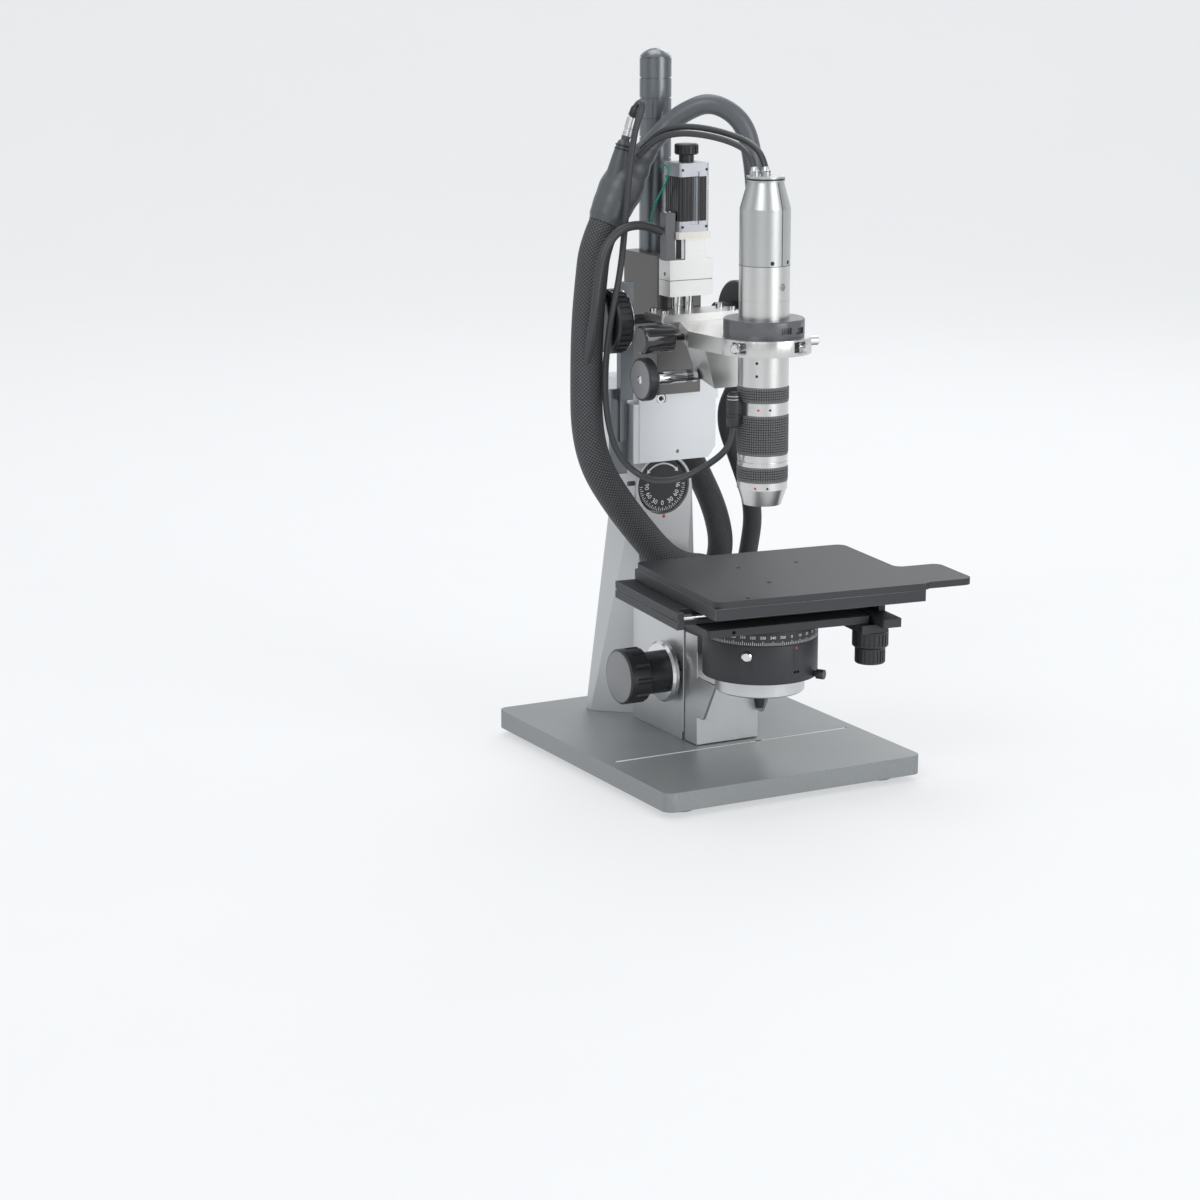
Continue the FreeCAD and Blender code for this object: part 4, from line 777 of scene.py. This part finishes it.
def motor_rods():
    """The rods at the motor's corners and its rounded front."""
    rods = []
    for sx, sy in ((1, -1), (1, 1), (-1, 1)):
        at = (sx * 12.6, MOTOR_Y + sy * 12.6, MOTOR_FOOT + 8.0)
        rods.append(lathe([(0.4, 0), (1.4, 0), (1.4, 38.0), (0.4, 38.0)], at, (0, 0, 1), 20))
    make("motor_rods", rods, CHROME, "coarse")
    coil = [(0.4, 0), (3.7, 0), (3.7, 36.0), (0.4, 36.0)]
    at = (2.2, MOTOR_Y - 10.6, MOTOR_FOOT + 9.0)
    make("motor_coil", lathe(coil, at, (0, 0, 1), 32), POLE, "coarse")


def neck_side():
    """The left half of the height block's neck, with a near-black strip in its front as the slot's painted
    shade.
    """
    side = block((-18.6, 27.6, 422.9), (-6.2, 44.5, 439.8), 0.4)
    # near-black strip in front of the neck where the slot is: painted shade
    slot = block((-14.6, 27.25, 423.4), (-9.6, 27.9, 439.3), 0.12)
    make("neck_side", side, SILVER, "coarse")
    make("neck_slot_painted_shade", slot, DARK_AND_PAINTED_SHADE, "coarse")


def block_joint():
    """The fine line between the two halves of the height block."""
    level = 405.4
    front = block((-20.0, 26.85, level - 0.25), (20.0, 27.4, level + 0.25), 0.05)
    side = block((-20.7, 27.4, level - 0.25), (-20.3, 45.2, level + 0.25), 0.05)
    make("block_joint", [front, side], POLE, "coarse")


def base_line():
    """The pale line in the base's groove, in two lengths."""
    spans = ((-112.0, 22.0), (28.0, 112.0))
    strips = [block((x0, -49.0, 20.6), (x1, -46.7, 21.85), 0.15) for x0, x1 in spans]
    make("base_line", strips, WHITE, "stand")


def barrel_details():
    """Seam, joint line and top ring of the camera barrel, and the two leads' reliefs."""
    line = ((BARREL_R, 430.9), (BARREL_R, 475.6), (14.3, 497.0))
    spread = 0.9
    section = ((-1, 0.0), (-1, 0.3), (1, 0.3), (1, 0.0))
    verts = [on_lens(r + out, -79.0 + side * spread, z) for r, z in line for side, out in section]
    faces = []
    for i in range(len(line) - 1):
        for k in range(4):
            faces.append((4 * i + k, 4 * i + (k + 1) % 4, 4 * i + 4 + (k + 1) % 4, 4 * i + 4 + k))
    faces += [(3, 2, 1, 0), (8, 9, 10, 11)]
    make("barrel_seam", (verts, faces), DARK_AND_PAINTED_SHADE, "fine", False)
    ring = [(20.2, 0), (20.58, 0.1), (20.58, 0.5), (20.2, 0.6)]
    make("barrel_joint", lathe(ring, (0, LENS_Y, BARREL_FOOT), (0, 0, 1), 96), DARK_AND_PAINTED_SHADE, "fine")
    rim = [(14.9, 0), (15.36, 0.15), (15.36, 1.6), (14.9, 1.8)]
    rim_at = (0, LENS_Y, BARREL_TOP)
    make("barrel_top_ring", lathe(rim, rim_at, (0, 0, 1), 96), BLACK, "fine")
    relief = [(4.0, 0), (4.1, 0.3), (3.9, 1.1), (3.3, 1.4), (3.0, 2.6), (2.75, 4.0), (2.6, 4.1)]
    reliefs = [lathe(relief, (x, y, 503.8), (0.0, 0.2, 1.0), 32) for x, y in ((2.5, -86.0), (-6.5, -84.0))]
    make("lead_reliefs", reliefs, SILVER, "fine")


def adapter_key():
    """The ribbed catch in the adapter ring's front."""
    parts = []
    for k in range(5):
        turn = Matrix.Rotation(math.radians(-87.0 + 3.6 * (k - 2)), 3, "Z")
        low, high = (32.0, -0.55, ARM_TOP + 4.5), (33.25, 0.55, ARM_TOP + 9.5)
        verts, faces = block(low, high, 0.2, turn)
        parts.append(([v + Vector((0, LENS_Y, 0)) for v in verts], faces))
    make("adapter_key", parts, GLOSSY, "fine")


def knob_face(name, radius, at, out, mat, body):
    """The flat end of a knob."""
    profile = [(0.1, 0), (radius, 0), (radius, 0.15), (radius - 0.6, 0.3), (0.1, 0.3)]
    make(name, lathe(profile, at, out, 64), mat, body)


def disc_knob():
    """Face, centre, shaft and ribs of the disc knob."""
    y, z = DISC_KNOB_AXLE
    x = DISC_KNOB_X
    end = [(0.1, 0), (15.6, 0), (15.6, 0.15), (14.9, 0.3), (0.1, 0.3)]
    disc = lathe(end, (x + 0.05, y, z), (-1, 0, 0), 64)
    make("disc_knob_face", disc, KNOB_FACE, "disc_knob")
    centre = [(0.1, 0), (3.6, 0), (3.6, 0.4), (3.0, 0.8), (1.2, 0.8), (1.0, 0.3), (0.1, 0.3)]
    make("disc_knob_centre", lathe(centre, (x - 0.2, y, z), (-1, 0, 0), 32), CHROME, "disc_knob")
    shaft = [(4.0, 0), (5.4, 0.3), (5.6, 0.8), (5.6, 14.0), (5.2, 14.4), (5.2, 36.6), (4.8, 37.0),
             (4.0, 37.1)]
    make("disc_knob_shaft", lathe(shaft, (x + 15.0, y, z), (1, 0, 0), 48), CHROME, "disc_knob")
    ribs = []
    for i in range(60):
        turn = Matrix.Rotation(2 * math.pi * i / 60, 3, "X")
        verts, faces = block((x + 1.0, 17.0, -0.45), (x + 8.0, 17.6, 0.45), 0.15, turn)
        ribs.append(([v + Vector((0, y, z)) for v in verts], faces))
    make("disc_knob_ribs", ribs, BLACK, "disc_knob")


def knob_faces():
    """The ends of the lift knob and the coarse knobs, and the bright rim of the left one."""
    knob_face("lift_knob_face", 21.6, (LIFT_FACE_X + 0.05,) + LIFT_AXLE, (-1, 0, 0), KNOB_FACE, "lift_knob")
    for x, out, side in ((-69.45, -1, "left"), (68.45, 1, "right")):
        knob_face("coarse_knob_cap_" + side, 23.6, (x,) + COARSE_AXLE, (out, 0, 0), GLOSSY, "coarse_knobs")
    rim = [(24.0, 0), (26.6, 0.2), (26.6, 0.9), (24.0, 1.1)]
    rim_at = (-56.2,) + COARSE_AXLE
    make("coarse_knob_rim", lathe(rim, rim_at, (1, 0, 0), 64), CHROME, "coarse_knobs")


def plug_details():
    """The lens plug's body, its link to the barrel and its two bands."""
    at = (PLUG_X, LENS_Y, PLUG_Z)
    body = [(2.6, 0), (5.0, 0.2), (5.9, 1.6), (5.9, 8.0), (5.4, 8.5), (5.4, 10.5), (5.9, 11.0), (5.9, 21.5),
            (5.3, 22.0), (4.8, 27.4), (3.6, 27.9), (0.1, 27.9)]
    ob = make("lens_plug_body", lathe(body, at, (0, 0, 1), 48), BLACK, "fine")
    link = block((PLUG_X, LENS_Y - 2.5, BASE_TOP + 285.0), (-20.3, LENS_Y + 2.5, BASE_TOP + 300.0), 0.8)
    make("lens_plug_link", link, BLACK, "fine")
    band = [(4.7, 0), (5.5, 0.15), (5.5, 0.65), (4.7, 0.8)]
    bands = [lathe([(r, h + z) for r, h in band], at, (0, 0, 1), 48) for z in (22.0, 24.6)]
    make("lens_plug_bands", bands, CHROME, "fine")
    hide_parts("lens_plug")


motor_rods()
neck_side()
block_joint()
base_line()
barrel_details()
adapter_key()
disc_knob()
knob_faces()
plug_details()


# set and light
def backdrop():
    """Floor and wall in one sweep, square to the camera, just under the feet."""
    wall, sweep, half_width, drop = 2.6, 1.4, 6.0, 0.0002
    profile = [(-4.0, 0.0)]
    for i in range(19):
        a = math.radians(5 * i)
        profile.append((wall + sweep * math.sin(a), sweep - sweep * math.cos(a)))
    profile.append((wall + sweep, 5.0))
    turn = Matrix.Rotation(math.radians(-28.3), 3, "Z")
    verts, faces = [], []
    for y, z in profile:
        for x in (-half_width, half_width):
            verts.append(turn @ Vector((x, y, z - drop)))
    for i in range(len(profile) - 1):
        faces.append((2 * i, 2 * i + 1, 2 * i + 3, 2 * i + 2))
    mesh = bpy.data.meshes.new("backdrop")
    mesh.from_pydata(verts, [], faces)
    ob = bpy.data.objects.new("backdrop", mesh)
    bpy.context.scene.collection.objects.link(ob)
    for polygon in mesh.polygons:
        polygon.use_smooth = True
    mat = material("backdrop_white", (0.33, 0.335, 0.34), 0.0, 0.75, 0.03, (3, 3, 3), 0.0, 0.01)
    shader = mat.node_tree.nodes["Principled BSDF"]
    shader.inputs["Emission Color"].default_value = (0.97, 0.985, 1.0, 1)
    shader.inputs["Emission Strength"].default_value = 0.53
    mesh.materials.append(mat)


def area(name, at, target, size, power):
    """A rectangular light at a point, facing another; its power in watts."""
    data = bpy.data.lights.new(name, "AREA")
    data.shape = "RECTANGLE"
    data.size, data.size_y = size
    data.energy = power
    ob = bpy.data.objects.new(name, data)
    ob.location = at
    ob.rotation_euler = (Vector(target) - Vector(at)).to_track_quat("-Z", "Y").to_euler()
    bpy.context.scene.collection.objects.link(ob)


def world():
    """Pale studio surroundings with soft upright bands, which the metals mirror."""
    scene = bpy.context.scene
    scene.world = bpy.data.worlds.new("world")
    scene.world.use_nodes = True
    nodes, links = scene.world.node_tree.nodes, scene.world.node_tree.links
    back = nodes["Background"]
    coord = nodes.new("ShaderNodeTexCoord")
    split = nodes.new("ShaderNodeSeparateXYZ")
    links.new(coord.outputs["Generated"], split.inputs["Vector"])

    def math_node(kind, first, second=None, value=None):
        node = nodes.new("ShaderNodeMath")
        node.operation = kind
        links.new(first, node.inputs[0])
        if second is not None:
            links.new(second, node.inputs[1])
        if value is not None:
            node.inputs[1].default_value = value
        return node.outputs["Value"]

    turn = math_node("ARCTAN2", split.outputs["Y"], split.outputs["X"])
    wave = math_node("SINE", math_node("ADD", math_node("MULTIPLY", turn, value=5.0), value=0.9))
    bands = nodes.new("ShaderNodeMapRange")
    bands.interpolation_type = "SMOOTHSTEP"
    bands.inputs["From Min"].default_value = -0.7
    bands.inputs["From Max"].default_value = 0.7
    bands.inputs["To Min"].default_value = 0.36
    bands.inputs["To Max"].default_value = 1.0
    links.new(wave, bands.inputs["Value"])
    height = nodes.new("ShaderNodeMapRange")
    height.inputs["From Min"].default_value = -0.4
    height.inputs["From Max"].default_value = 0.6
    height.inputs["To Min"].default_value = 0.85
    height.inputs["To Max"].default_value = 1.0
    links.new(split.outputs["Z"], height.inputs["Value"])
    strength = math_node("MULTIPLY", bands.outputs["Result"], height.outputs["Result"])
    links.new(strength, back.inputs["Strength"])
    back.inputs["Color"].default_value = (0.96, 0.98, 1.0, 1)
    scene.view_settings.view_transform = "Standard"


backdrop()
area("key", (-2.4, -1.6, 2.6), (0, 0, 0.3), (1.6, 1.6), 34)
area("fill", (0.9, -2.9, 1.1), (0, 0, 0.3), (1.6, 1.8), 30)
area("top", (0.3, 0.9, 3.0), (0, 0, 0.2), (1.8, 1.8), 24)
area("back", (1.6, 1.6, 1.6), (0, 0, 0.3), (1.0, 1.0), 8)
world()
